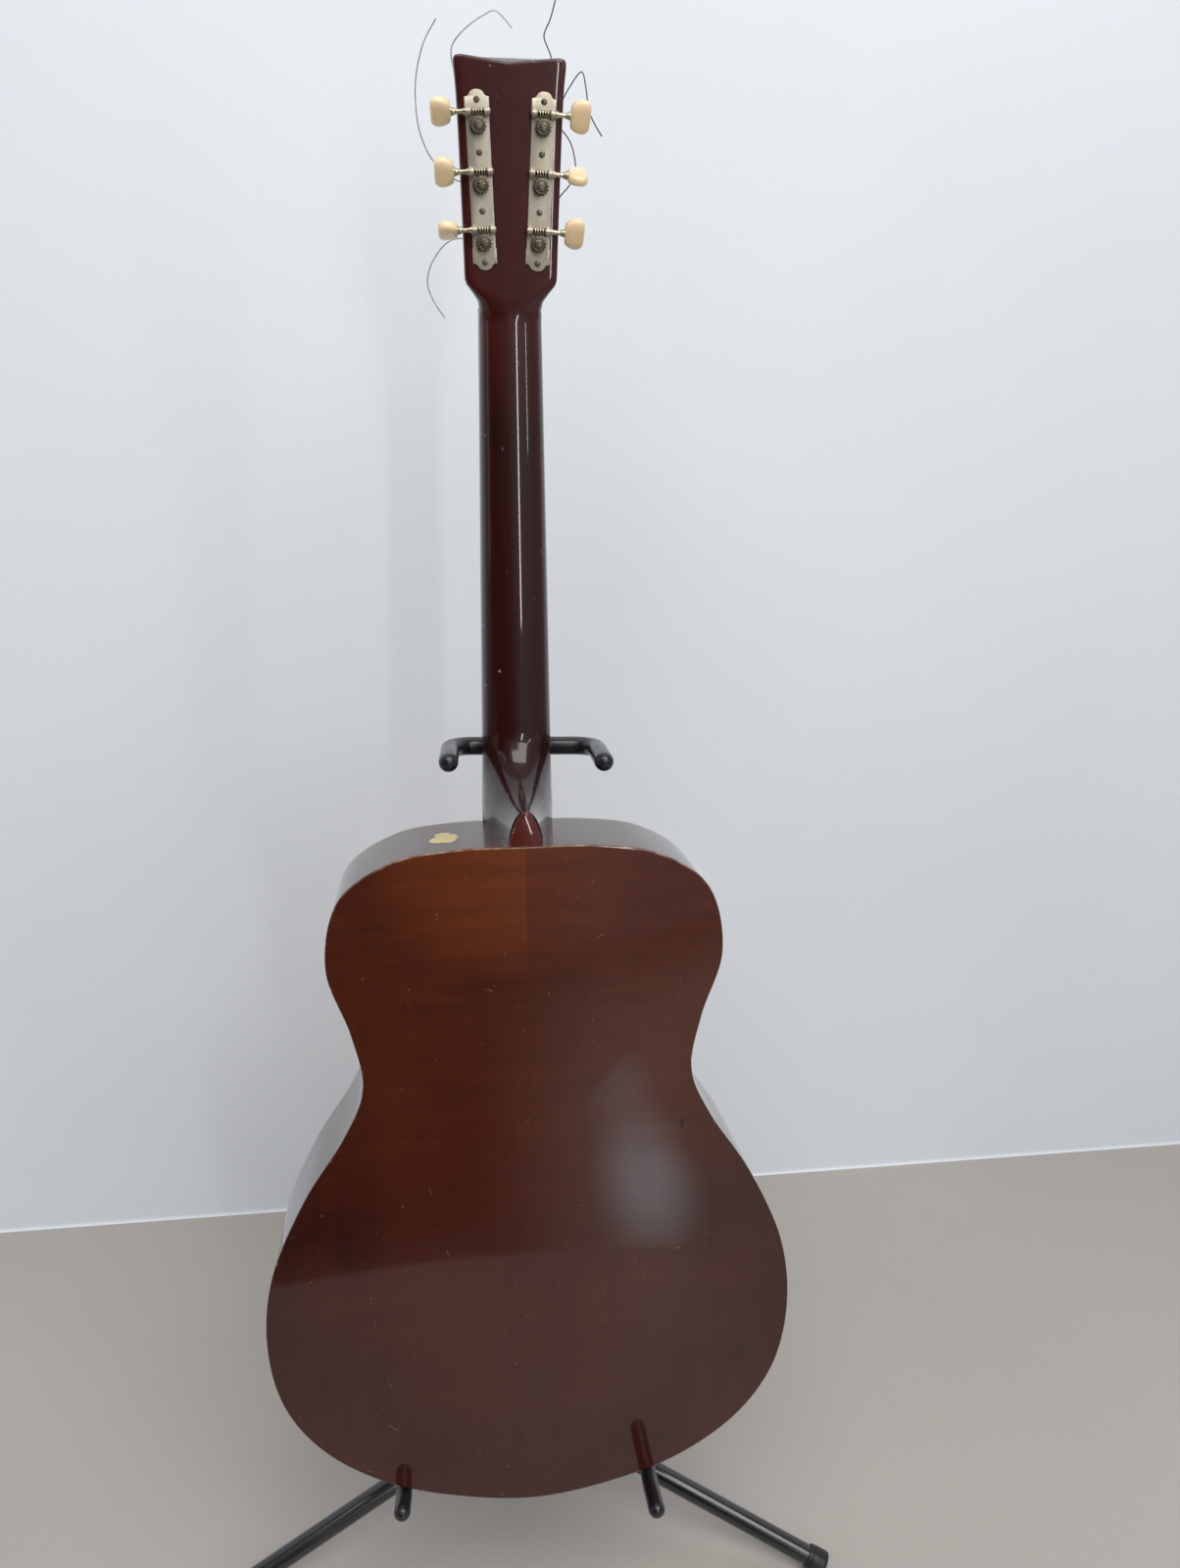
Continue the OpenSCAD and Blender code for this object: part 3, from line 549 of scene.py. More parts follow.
def bare_wood(name, dark, light, roughness=0.6, coat=0.0):
    m = Nodes(name, Roughness=roughness, Coat_Weight=coat, Coat_Roughness=0.12)
    grain = m.noise(1.0, 5, m.stretched(520, 520, 5), 0.2)
    broad = m.noise(1.0, 3, m.stretched(30, 30, 4))
    blend = m.plus(m.times(grain, 0.6), m.times(broad, 0.4))
    m.colour(m.ramp(blend, (0.35, dark), (0.66, light)))
    m.bump(grain, 0.15, 0.2)
    return m.material


def metal(name, clean, dull, low, high, tarnish=0.5, scale=160, along=(1, 1, 1)):
    m = Nodes(name, Metallic=1.0)
    cloud = m.noise(scale, 6, m.stretched(*along))
    specks = m.ramp(m.noise(scale * 3.5, 3), (0.60, 0.0), (0.72, 1.0))
    blend = m.ramp(cloud, (0.40, 0.0), (0.68, 1.0))
    colour = m.mix(m.times(blend, tarnish), clean, dull)
    colour = m.mix(m.times(specks, tarnish * 0.6), colour, [c * 0.35 for c in dull])
    # Darker where the mesh's mark says: a worm's thread roots and ends.
    darkening = m.edge()
    m.colour(m.mix(darkening, colour, (0.012, 0.010, 0.008)))
    m.rough(low, high, scale * 0.8, m.stretched(*along))
    m.bump(m.noise(scale * 4, 3, m.stretched(*along)), 0.08, 0.1)
    return m.material


def plastic(name, base, tint, low, high, scale=220, bump=0.1, coat=0.0, subsurface=0.0):
    m = Nodes(name, Coat_Weight=coat, Coat_Roughness=0.08, Subsurface_Weight=subsurface)
    m.shader.inputs["Subsurface Radius"].default_value = (1.0, 0.7, 0.4)
    m.shader.inputs["Subsurface Scale"].default_value = 0.003
    m.colour(m.mix(m.ramp(m.noise(scale * 0.4, 4), (0.38, 0.0), (0.66, 1.0)), base, tint))
    m.rough(low, high, scale * 0.6)
    m.bump(m.noise(scale * 5, 3), bump, 0.15)
    return m.material


BACK_WOOD = plate_wood("back_wood", (0.026, 0.0028, 0.0016), (0.048, 0.0070, 0.0028), (0.072, 0.0140, 0.0046))
SIDE_WOOD = plate_wood("side_wood", (0.022, 0.0034, 0.002), (0.040, 0.007, 0.0035), (0.060, 0.013, 0.006),
                       glow=False)
NECK_WOOD = long_wood("neck_wood", (0.024, 0.0024, 0.0021), (0.062, 0.0064, 0.0052), painted_shade=0.5)
HEEL_WOOD = long_wood("heel_cap", (0.060, 0.008, 0.006), (0.11, 0.016, 0.010))
TOP_WOOD = bare_wood("spruce_top", (0.52, 0.29, 0.105), (0.66, 0.40, 0.17), 0.3, 0.8)
INNER_WOOD = bare_wood("inner_wood", (0.36, 0.22, 0.11), (0.52, 0.36, 0.20))
DARK_WOOD = bare_wood("dark_wood", (0.018, 0.009, 0.006), (0.050, 0.025, 0.015), 0.42)
VENEER_BLACK = plastic("veneer", (0.010, 0.008, 0.008), (0.016, 0.012, 0.011), 0.25, 0.35,
                       bump=0.04, coat=0.9)
PICKGUARD = plastic("pickguard", (0.020, 0.007, 0.004), (0.11, 0.028, 0.008), 0.12, 0.2, 90, 0.02, coat=0.6)
BONE = plastic("bone", (0.72, 0.64, 0.46), (0.62, 0.52, 0.34), 0.3, 0.45, 260, 0.06, subsurface=0.15)
CREAM = plastic("cream_plastic", (0.94, 0.75, 0.47), (0.86, 0.64, 0.37), 0.22, 0.36, 120, 0.05, 0.6, 0.2)
NICKEL = metal("plate_nickel", (0.60, 0.55, 0.455), (0.42, 0.37, 0.28), 0.38, 0.54, 0.5, 120, (1, 1, 0.2))
BRASS = metal("worm_brass", (0.62, 0.56, 0.42), (0.36, 0.30, 0.18), 0.18, 0.36, 0.5, 240)
BRONZE = metal("gear_brass", (0.13, 0.108, 0.08), (0.06, 0.05, 0.037), 0.30, 0.45, 0.35, 260)
SCREW = metal("steel", (0.27, 0.23, 0.18), (0.12, 0.10, 0.075), 0.3, 0.5, 0.7, 300)
FRET_METAL = metal("fret_metal", (0.62, 0.60, 0.56), (0.42, 0.40, 0.36), 0.18, 0.3, 0.4, 200)
STRING_STEEL = metal("string_steel", (0.50, 0.49, 0.47), (0.30, 0.27, 0.23), 0.25, 0.4, 0.5, 300)
WOUND = metal("string_bronze", (0.50, 0.33, 0.17), (0.28, 0.19, 0.10), 0.25, 0.4, 0.5, 300)
DARK_WIRE = plastic("dark_wire", (0.012, 0.012, 0.015), (0.020, 0.019, 0.020), 0.35, 0.5)
TUBE_BLACK = plastic("black_tube", (0.0065, 0.0065, 0.0075), (0.010, 0.010, 0.011), 0.20, 0.32, 60, 0.03, 0.8)
HARD_BLACK = plastic("black_plastic", (0.010, 0.010, 0.011), (0.018, 0.018, 0.019), 0.34, 0.5, 160, 0.12)
RUBBER = plastic("black_rubber", (0.006, 0.006, 0.009), (0.010, 0.010, 0.014), 0.28, 0.42, 130, 0.06, 0.4)
LABEL = plastic("label_paper", (0.66, 0.57, 0.30), (0.55, 0.45, 0.21), 0.5, 0.7, 110, 0.1)

# ------------------------------------------------------------------ camera
camera = bpy.data.objects.new("camera", bpy.data.cameras.new("camera"))
bpy.context.scene.collection.objects.link(camera)
camera.data.sensor_width = 36.0
camera.data.lens = 27.34
camera.location = (-0.0333, -0.8534, 0.9437)
camera.rotation_euler = [math.radians(a) for a in (70.750, -1.384, -5.196)]
camera.data.clip_start = 0.02
bpy.context.scene.camera = camera


# ------------------------------------------------------------------ wire ends beyond the posts
def wire_end(k, material):
    name = f"string_end_{k + 1}"
    route = [HEAD @ Vector(p) * MM for p in open_curve(WIRE_ROUTES[k], 4)]
    curve = bpy.data.curves.new("wire_" + name, "CURVE")
    curve.dimensions = "3D"
    curve.bevel_depth = WIRE_DIAMETER / 2 * MM
    curve.bevel_resolution = 3
    curve.use_fill_caps = True
    spline = curve.splines.new("POLY")
    spline.points.add(len(route) - 1)
    for point, at in zip(spline.points, route):
        point.co = (*at, 1)
    curve.materials.append(material)
    made = bpy.data.objects.new("wire_" + name, curve)
    bpy.context.scene.collection.objects.link(made)
    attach(made, "guitar")
    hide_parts(name)


WIRE_LENGTHS = [73, 112, 96, 78, 113, 76]
for k, length in enumerate(WIRE_LENGTHS):
    wire_end(k, STRING_STEEL if k < 3 else DARK_WIRE)


# ------------------------------------------------------------------ guitar body
def top_y(z):
    """Depth of the soundboard's outer face below the back's, at a height."""
    return TAIL_DEPTH - (TAIL_DEPTH - SHOULDER_DEPTH) / BODY_LENGTH * z


def build_back():
    outline = body_outline(12)
    edge_rows = [(0.0, 3.0, 0.0), (0.0, 1.2, 0.0), (0.12, 0.6, 0.5), (0.4, 0.2, 1.0), (0.8, 0.03, 0.3),
                 (1.5, 0.0, 0.0)]
    rings = [[(x, y, z) for x, z in inset(outline, d)] for d, y, _ in edge_rows]
    edge = [worn for _, _, worn in edge_rows for _ in outline]
    rim = inset(outline, 2.2)
    centre_z, crown, count = 290.0, 3.2, 26
    for j in range(count):
        s = 1 - j / (count - 0.6)
        y = -crown * (1 - s ** 2.2)
        rings.append([(x * s, y, centre_z + (z - centre_z) * s) for x, z in rim])
        edge += [0.0] * len(rim)
    piece("back", loft(rings), GUITAR, BACK_WOOD, "guitar", ["back_plate"], 60, {"edge": edge})


def build_sides():
    outline = body_outline(12)
    inner = inset(outline, SIDE_WALL)
    start, drop = BACK_THICKNESS, TOP_THICKNESS
    rings = [[(x, start + (top_y(z) - drop - start) * t, z) for x, z in outline] for t in (0, 0.33, 0.67, 1)]
    rings += [[(x, top_y(z) - drop, z) for x, z in inner], [(x, start, z) for x, z in inner]]
    rings.append(rings[0])
    piece("side_walls", loft(rings, False, False), GUITAR, SIDE_WOOD, "guitar", ["sides"])


def build_soundboard():
    outline = body_outline(12)
    hole = []
    for x, z in outline:
        a = math.atan2(z - SOUNDHOLE_Z, x)
        hole.append((SOUNDHOLE_RADIUS * math.cos(a), SOUNDHOLE_Z + SOUNDHOLE_RADIUS * math.sin(a)))
    rows = [(0.0, -TOP_THICKNESS), (0.0, -0.9), (0.3, -0.3), (1.0, 0.0)]
    rings = [[(x, top_y(z) + y, z) for x, z in inset(outline, d)] for d, y in rows]
    rim = inset(outline, 1.2)
    for t in (0.0, 0.25, 0.5, 0.75, 0.97):
        rings.append([(x + (u - x) * t, top_y(z + (w - z) * t), z + (w - z) * t)
                      for (x, z), (u, w) in zip(rim, hole)])
    for y in (-0.4, -TOP_THICKNESS):
        rings.append([(u, top_y(w) + y, w) for u, w in hole])
    rings.append(rings[0])
    piece("top", loft(rings, False, False), GUITAR, TOP_WOOD, "guitar", ["soundboard"])


def build_rosette():
    shapes = []
    for radius, wide in ((54.0, 1.6), (58.0, 3.4), (62.0, 1.6)):
        rings = []
        for r, y in ((radius - wide / 2, -0.1), (radius - wide / 2, 0.12), (radius + wide / 2, 0.12),
                     (radius + wide / 2, -0.1)):
            rings.append([(r * c, y, SOUNDHOLE_Z + r * s) for c, s in circle(128)])
        rings.append(rings[0])
        shapes.append(loft(rings, False, False))
    piece("rosette", merged(*shapes), TOP, DARK_WOOD, "guitar")


def build_label():
    """A small blank label on the upper-left side, following its curve."""
    outline = body_outline(24)
    upper = [p for p in outline if p[0] < -42 and p[1] > 480]
    upper.sort(key=lambda p: -p[0])
    run = [0.0]
    for a, b in zip(upper, upper[1:]):
        run.append(run[-1] + math.dist(a, b))
    corners = [(6, 0), (2, 4), (2, 9), (0, 12), (2, 22), (6, 24), (7, 28), (12, 30), (17, 26),
               (16, 19), (19, 16), (21, 9), (18, 4), (12, 2)]

    def lifted(s, depth, height):
        s += 2.0
        i = max(j for j in range(len(run) - 1) if run[j] <= s)
        t = (s - run[i]) / (run[i + 1] - run[i])
        ax, az = upper[i]
        bx, bz = upper[i + 1]
        dx, dz = bx - ax, bz - az
        size = math.hypot(dx, dz)
        return (ax + dx * t + height * dz / size, depth, az + dz * t - height * dx / size)

    rings = []
    for scale, height in ((1.0, 0.02), (1.0, 0.20), (0.97, 0.25), (0.6, 0.25), (0.25, 0.25)):
        rings.append([lifted(10 + (s - 10) * scale, 38 + (d - 15) * scale, height) for s, d in corners])
    piece("side_label", loft(rings), GUITAR, LABEL, "guitar")


build_back()
build_sides()
build_soundboard()
build_rosette()
build_label()
dress("linings", INNER_WOOD)
dress("end_blocks", INNER_WOOD)
dress("braces", INNER_WOOD, 0.8)
dress("pickguard", PICKGUARD, 0.4)
dress("bridge", DARK_WOOD, 1.2)
dress("nut_and_saddle", BONE, 0.4)
dress("bridge_pins", BONE, 0.3)
dress("end_pin", BONE, 0.5)
dress("truss_rod", SCREW)
dress("fingerboard", DARK_WOOD, 0.4)
dress("frets", FRET_METAL, 0.4)


# ------------------------------------------------------------------ neck, heel and headstock
def on_top(x, y, z):
    return (move(0, TAIL_DEPTH, 0) @ turn("X", TOP_TILT)) @ Vector((x, y, z))


def on_head(x, depth, length):
    return HEAD_IN_GUITAR @ Vector((x, depth, length))


def board_half(z):
    share = (NUT_Z - z) / (NUT_Z - BODY_LENGTH)
    return (NUT_WIDTH + (JOIN_WIDTH - NUT_WIDTH) * share) / 2


def neck_depth(z):
    return 15.5 + 3 * (NUT_Z - z) / (NUT_Z - NECK_FOOT_Z)


HEAD_HALF_WIDTHS = [(-2, 20.4), (3, 21.5), (8, 25), (13, 29), (16, 30), (20, 30.2), (40, 30.6),
                    (110, 32.8), (127, 33.7), (137, 34.85), (139.5, 34.8), (141.2, 34.0), (142, 32.4)]
HEEL_ROOT_Z = 504.5
HEEL_TIP_Z = 529.0
HEEL_FOOT_HALF = 11.5
# Heel rows: where a ring ends on the body (depth, height), its half width, its ridge (depth, height).
HEEL_ROWS = [
    (2.5, HEEL_ROOT_Z, HEEL_FOOT_HALF, 2.5, HEEL_TIP_Z), (16, HEEL_ROOT_Z, 12.4, 12, 530),
    (32, HEEL_ROOT_Z, 14.2, 24, 532.3), (50, HEEL_ROOT_Z, 17.6, 36, 537),
    (66, 505, 22, 47, 545), (78, 508, 25.0, 56.5, 556),
    (82.2, 530, 25.1, 62.3, 568),
]


def head_half_width(length):
    for (a, wa), (b, wb) in zip(HEAD_HALF_WIDTHS, HEAD_HALF_WIDTHS[1:]):
        if length <= b:
            t = (length - a) / (b - a)
            return wa + (wb - wa) * max(0, t)
    return HEAD_HALF_WIDTHS[-1][1]


def notch(x):
    """How far the headstock's top edge dips at a distance from its middle."""
    return 3.4 * max(0, 1 - abs(x) / 30.0)


def ring_between(end, ridge, half, fullness, count=96):
    """One ring of the neck, its points even across it: from one end over the ridge to the other end."""
    made = []
    for j in range(count + 1):
        turned = math.pi * j / count
        flat = smoothstep((fullness - 2.3) / 4)
        c = math.cos(turned) * (1 - flat) + (1 - 2 * j / count) * flat
        c = math.copysign(max(abs(c), 1e-6), c)
        a = math.acos(max(-1, min(1, c)))
        c, s = abs(math.cos(a)), abs(math.sin(a))
        reach = (c ** fullness + s ** fullness) ** (-1 / fullness)
        across = -half * math.copysign(1, math.cos(a)) * c * reach
        made.append(Vector((across, 0, 0)) + end + (ridge - end) * min(1, s * reach))
    front = [made[-1].lerp(made[0], j / 24) for j in range(1, 24)]
    return made + front


def build_neck():
    rings, edge = [], []

    def add(ring, worn=0.0):
        rings.append([tuple(p) for p in ring])
        edge.extend([worn] * len(ring))

    straight_start, straight_end, overlap, blend_length, blend_end = 610, 846, 10, 32, 0.46
    controls = list(HEEL_ROWS)
    for z in (584, straight_start):
        end, ridge = on_top(0, 0, z), on_top(0, -neck_depth(z), z)
        controls.append((end.y, end.z, board_half(z), ridge.y, ridge.z))
    smooth = open_curve(controls, 10)
    for i, (ey, ez, half, ry, rz) in enumerate(smooth[:-1]):
        fullness = 2.0 + 0.25 * smoothstep(i / len(smooth))
        add(ring_between(Vector((0, ey, ez)), Vector((0, ry, rz)), half, fullness))
    for z in range(straight_start, straight_end - 5, 10):
        add(ring_between(on_top(0, 0, z), on_top(0, -neck_depth(z), z), board_half(z), 2.25))
    nut_end = on_top(0, 0, straight_end)
    nut_ridge = on_top(0, -neck_depth(straight_end), straight_end)
    for j in range(1, 31):
        t = j / 30
        length = -overlap + blend_length * t
        flat = smoothstep((t - 0.05) / 0.9)
        end, ridge = on_head(0, HEAD_THICKNESS, length), on_head(0, 0, length)
        if t < blend_end:
            along = on_top(0, 0, straight_end + (length + overlap)) - nut_end
            end = (nut_end + along).lerp(end, smoothstep(t * 2.2))
            ridge = (nut_ridge + along).lerp(ridge, smoothstep(t * 2.2))
        half = board_half(straight_end + length + overlap) if length < -2 else head_half_width(length)
        add(ring_between(end, ridge, half, 2.25 * (16 / 2.25) ** flat))
    for length in (30, 50, 75, 100, 120, 130, 136, 139.5, 141.2, 141.8, 142):
        rim = {142: 0.9, 141.8: 0.35}.get(length, 0.0)
        end, ridge = on_head(0, HEAD_THICKNESS, length), on_head(0, rim, length)
        ring = ring_between(end, ridge, head_half_width(length) - rim, 16)
        dip = smoothstep((length - 124) / 17)
        add([p - (on_head(0, 0, 1) - on_head(0, 0, 0)) * notch(p.x) * dip for p in ring],
            0.9 if length > 139 else 0.0)
    piece("neck_shaft", loft(rings), GUITAR, NECK_WOOD, "guitar", ["neck"], 50, {"edge": edge})


def head_outline():
    lengths = (7, 10, 13, 16, 20, 30, 50, 80, 110, 127, 137, 139.5, 141.2, HEAD_LENGTH)
    half = [(head_half_width(length), length) for length in lengths]
    half += [(x, HEAD_LENGTH - notch(x)) for x in (29, 24, 19, 14, 10, 6, 3, 0)]
    return half + [(-x, z) for x, z in half[-2::-1]]


def heel_arch(count=40):
    """The heel cap's outline: an arch from the back's edge up to a blunt point."""
    pinch, rise = 0.26, 1.05
    points = []
    for i in range(count, -1, -1):
        a = math.pi * i / count
        across = -HEEL_FOOT_HALF * math.cos(a) * (1 - pinch * math.sin(a))
        points.append((across, HEEL_ROOT_Z + (HEEL_TIP_Z - HEEL_ROOT_Z) * math.sin(a) ** rise))
    return points


def build_heel_cap():
    outline = heel_arch()
    rows = [(0.0, 2.5), (0.0, 0.9), (0.3, 0.3), (1.0, 0.0)]
    rings = [[(x, y, z) for x, z in inset(outline, d)] for d, y in rows]
    edge = [worn for worn in (0.6, 1.0, 1.0, 0.0) for _ in outline]
    piece("heel_plate", loft(rings), GUITAR, HEEL_WOOD, "guitar", ["heel_cap"], 50,
          {"edge": edge})


build_neck()
build_heel_cap()
piece("head_face", plate(head_outline(), HEAD_THICKNESS, HEAD_FRONT, 0.5), HEAD, VENEER_BLACK, "guitar",
      ["headstock_veneer"])


# ------------------------------------------------------------------ tuning machines
def screw_head(radius, height, recess):
    """A domed head with a cross recess, facing -Y, its seat at y = 0."""
    rings, segments = [], 48
    rows = [(radius, 0.0), (radius, -height * 0.35), (radius * 0.92, -height * 0.7)]
    for r, y in rows:
        rings.append([(r * c, y, r * s) for c, s in circle(segments)])
    for j in range(12):
        r = radius * (0.84 - 0.068 * j)
        ring = []
        for i in range(segments):
            a = 2 * math.pi * i / segments + 0.3
            x, z = r * math.cos(a), r * math.sin(a)
            u = x * math.cos(0.3) + z * math.sin(0.3)
            v = z * math.cos(0.3) - x * math.sin(0.3)
            slot = min(abs(u), abs(v)) < recess / 2 and max(abs(u), abs(v)) < radius * 0.68
            y = -height * (1 - 0.25 * (r / radius) ** 2) + (height * 0.6 if slot else 0)
            ring.append((x, y, z))
        rings.append(ring)
    return loft(rings)


def plate_outline():
    half = [(0, 51), (1.8, 50.8), (3.4, 50.1), (4.4, 49.1), (5.0, 48.0), (5.8, 47.3), (7.0, 47.0),
            (7.8, 47.0), (7.8, 38.2), (7.35, 37.8), (7.35, 0)]
    upper = half + [(x, -z) for x, z in half[-2::-1]]
    return [(x, z + 2) for x, z in upper][::-1] + [(-x, z + 2) for x, z in upper[1:-1]]


def ears():
    """The two barrels on a plate that a worm shaft turns in, with their feet."""
    shapes = []
    for x in (-7.4, 4.2):
        profile = [(1.5, x), (2.5, x), (2.75, x + 0.3), (2.75, x + 0.9), (2.3, x + 1.2), (2.3, x + 2.2),
                   (2.75, x + 2.5), (2.75, x + 2.9), (2.5, x + 3.1), (1.5, x + 3.1)]
        shapes.append(moved(lathe(profile, 32, "X"), move(0, -WORM_HEIGHT, WORM_OFFSET)))
        foot = plate(rounded_rectangle(2.6, 5.6, 0.5), -WORM_HEIGHT, -PLATE_THICKNESS + 0.1, 0.2)
        shapes.append(moved(foot, move(x + 1.55, 0, WORM_OFFSET)))
    return merged(*shapes)


def build_plates():
    shapes = []
    for side in (0, 3):
        here = tuner_frame(side + 1)
        outline = plate_outline()
        shapes.append(moved(plate(outline, -PLATE_THICKNESS, 0, 0.3), here))
        for k in range(side, side + 3):
            shapes.append(moved(ears(), tuner_frame(k)))
            washer = lathe(rounded(4.6, -1.7, -0.5, 0.3), 40, "Y")
            shapes.append(moved(washer, tuner_frame(k)))
    piece("machine_plates", merged(*shapes), Matrix.Identity(4), NICKEL, "guitar",
          ["tuner_plates"])


def build_plate_screws():
    shapes = []
    for side in (0, 3):
        for z in SCREW_OFFSETS:
            here = tuner_frame(side + 1) @ move(0, -PLATE_THICKNESS + 0.1, z)
            shapes.append(moved(screw_head(1.9, 1.0, 0.6), here))
            shapes.append(moved(lathe(rounded(1.2, 0, 9, 0.3), 16, "Y"), here))
    piece("machine_screws", merged(*shapes), Matrix.Identity(4), SCREW, "guitar", ["plate_screws"])


def build_bushings():
    shapes = []
    for k in range(6):
        profile = [(3.1, HEAD_FRONT - 8), (4.1, HEAD_FRONT - 8), (4.1, HEAD_FRONT), (5.0, HEAD_FRONT),
                   (5.0, HEAD_FRONT + 0.4), (4.5, HEAD_FRONT + 0.8), (3.5, HEAD_FRONT + 0.9),
                   (3.1, HEAD_FRONT + 0.6)]
        rings = lathe(profile + [profile[0]], 40, "Y")
        shapes.append(moved(rings, tuner_frame(k)))
    piece("bushings", merged(*shapes), Matrix.Identity(4), NICKEL, "guitar",
          ["post_bushings"])


def worm_shape():
    """The threaded shaft between the two ears, and how dark each of its points is: darkest in the thread's
    roots and at its ends.
    """
    lead, crest, root = 1.65, 2.1, 1.0
    start, end, steps, segments = -4.1, 3.9, 128, 28
    rings, darkening = [], []
    for j in range(steps + 1):
        x = start + (end - start) * j / steps
        fade = min(1, (x - start) / 0.6, (end - x) / 0.6)
        ring = []
        for i in range(segments):
            a = 2 * math.pi * i / segments
            wave = smoothstep((0.5 + 0.5 * math.cos(2 * math.pi * x / lead - a)) * 1.3)
            r = root + (crest - root) * fade * wave
            ring.append((x, r * math.cos(a), r * math.sin(a)))
            darkening.append(1 - smoothstep(wave * 1.6) * fade)
        rings.append(ring)
    tip = lathe([(0.6, -8.3), (1.3, -8.1), (1.9, -7.7), (1.9, -7.45), (1.4, -7.4), (1.4, start)], 28, "X")
    stem = lathe([(1.4, end), (1.4, 7.4), (2.15, 7.5), (2.15, 8.6), (1.55, 8.9), (1.5, 13.6), (2.0, 14.0),
                  (2.1, 15.2), (2.6, 15.7), (2.6, 16.7), (1.4, 16.8), (1.4, 18.0)], 28, "X")
    darkening += [0.0] * (len(tip[0]) + len(stem[0]))
    return merged(loft(rings), tip, stem), darkening


def button_shape():
    rows = [(16.5, 4.8, 2.0), (16.7, 6.2, 2.8), (17.4, 7.3, 3.3), (18.6, 8.3, 3.7), (20.2, 9.2, 3.95),
            (22.2, 9.85, 4.0), (24.2, 10.0, 4.0), (26.0, 9.6, 3.9), (27.4, 8.7, 3.6), (28.3, 7.6, 3.0),
            (28.7, 6.4, 2.3), (28.8, 5.0, 1.5)]
    rings = []
    for x, wide, thick in open_curve(rows, 3):
        ring = []
        for c, s in circle(56):
            reach = (abs(c) ** 2.7 + abs(s) ** 2.7) ** (-1 / 2.7)
            ring.append((x, thick * s * reach, wide * c * reach))
        rings.append(ring)
    return loft(rings)


def gear_shape():
    """A toothed wheel with its boss and centre screw, on the post behind the headstock."""
    outline = []
    for i in range(GEAR_TEETH):
        for share, r in ((0.0, 4.15), (0.22, 4.2), (0.36, 5.2), (0.5, 5.3), (0.64, 5.2), (0.78, 4.2)):
            a = 2 * math.pi * (i + share) / GEAR_TEETH
            outline.append((r * math.cos(a), r * math.sin(a)))
    middle = -WORM_HEIGHT
    spacer = lathe([(3.0, -1.5), (4.1, -1.6), (4.1, middle + 1.2), (3.0, middle + 1.3)], 40, "Y")
    wheel = merged(plate(outline, middle - 1.4, middle + 1.4, 0.22, 2), spacer)
    boss = lathe([(4.35, middle - 1.3), (4.3, middle - 1.75), (4.0, middle - 1.85), (3.75, middle - 1.5),
                  (3.4, middle - 1.45), (3.2, middle - 1.9), (2.95, middle - 1.95), (2.8, middle - 1.5)],
                 48, "Y")
    screw = moved(screw_head(2.7, 1.3, 0.95), move(0, middle - 1.35, 0))
    low, high = HEAD_FRONT, HEAD_FRONT + 18.9
    post = lathe([(3.0, middle + 1.3), (3.0, low + 4.5), (3.8, low + 5.2), (3.9, low + 5.8), (3.0, low + 6.6),
                  (2.5, low + 8.5), (2.5, low + 13.5), (3.0, low + 15.5),
                  (3.2, high - 1.0), (2.8, high - 0.2),
                  (1.8, high)], 32, "Y")
    return wheel, boss, screw, post


def build_machines():
    (worm, darkening), button = worm_shape(), button_shape()
    wheel, boss, screw, post = gear_shape()
    for k in range(6):
        here = tuner_frame(k)
        number = k + 1
        axis = here @ move(0, -WORM_HEIGHT, WORM_OFFSET)
        piece(f"worm_{number}", worm, axis, BRASS, f"tuner_{number}", [f"tuner_worm_{number}"],
              attributes={"edge": darkening})
        piece(f"button_{number}", button, axis @ turn("X", BUTTON_TURNS[k]), CREAM, f"tuner_{number}",
              [f"tuner_button_{number}"], 60)
        tooth_turn = turn("Y", 360 / GEAR_TEETH * 0.25)
        piece(f"gear_{number}", moved(wheel, tooth_turn), here, BRONZE, f"gear_{number}",
              [f"tuner_gear_{number}"])
        piece(f"gear_boss_{number}", merged(boss, screw), here, SCREW, f"gear_{number}")
        piece(f"post_{number}", post, here, NICKEL, f"gear_{number}")


build_plates()
build_plate_screws()
build_bushings()
build_machines()


# ------------------------------------------------------------------ strings
def build_strings():
    machine = [3, 4, 5, 2, 1, 0]
    radii = [0.62, 0.50, 0.42, 0.34, 0.22, 0.18]
    wound, plain = [], []
    to_guitar = GUITAR.inverted()
    for i in range(6):
        across = 2.5 - i
        radius = radii[i]
        post_centre = to_guitar @ (tuner_frame(machine[i]) @ Vector((0, HEAD_FRONT + 10, 0)))
        saddle = on_top(across * 10.4, 12.0 + radius, SADDLE_Z)
        nut = on_top(across * 7.2, 7.4 + radius, NUT_Z + NUT_THICKNESS / 2)
        hole = on_top(across * 10.4, 9.2, SADDLE_Z - 8.6)
        coil = []
        side = side_of(machine[i])
        wrap = 2.5 + radius
        for j in range(66):
            a = 2 * math.pi * j / 22
            offset = Vector((-side * wrap * math.cos(a), 3.0 - 0.045 * j, wrap * math.sin(a)))
            turned = (HEAD_IN_GUITAR.to_3x3() @ offset)
            coil.append(post_centre + turned)
        path = [hole, saddle, saddle + (nut - saddle) * 0.02, saddle + (nut - saddle) * 0.98, nut,
                nut + (coil[0] - nut) * 0.05, nut + (coil[0] - nut) * 0.93, *coil]
        (wound if i < 3 else plain).append(tube(path, radius, 10))
    piece("strings_wound", merged(*wound), GUITAR, WOUND, "guitar")
    piece("strings_plain", merged(*plain), GUITAR, STRING_STEEL, "guitar", ["strings"])


build_strings()


# ------------------------------------------------------------------ stand
def yoke_path(half, back, bend, front):
    """A U of three straights and two bends, from the left arm's front to the right arm's front."""
    right = [(half, front, 0), (half, back - bend, 0)]
    right += [(half - bend + bend * math.cos(a), back - bend + bend * math.sin(a), 0)
              for a in (math.radians(7.5 * j) for j in range(1, 13))]
    return [(-x, y, z) for x, y, z in right] + right[::-1]


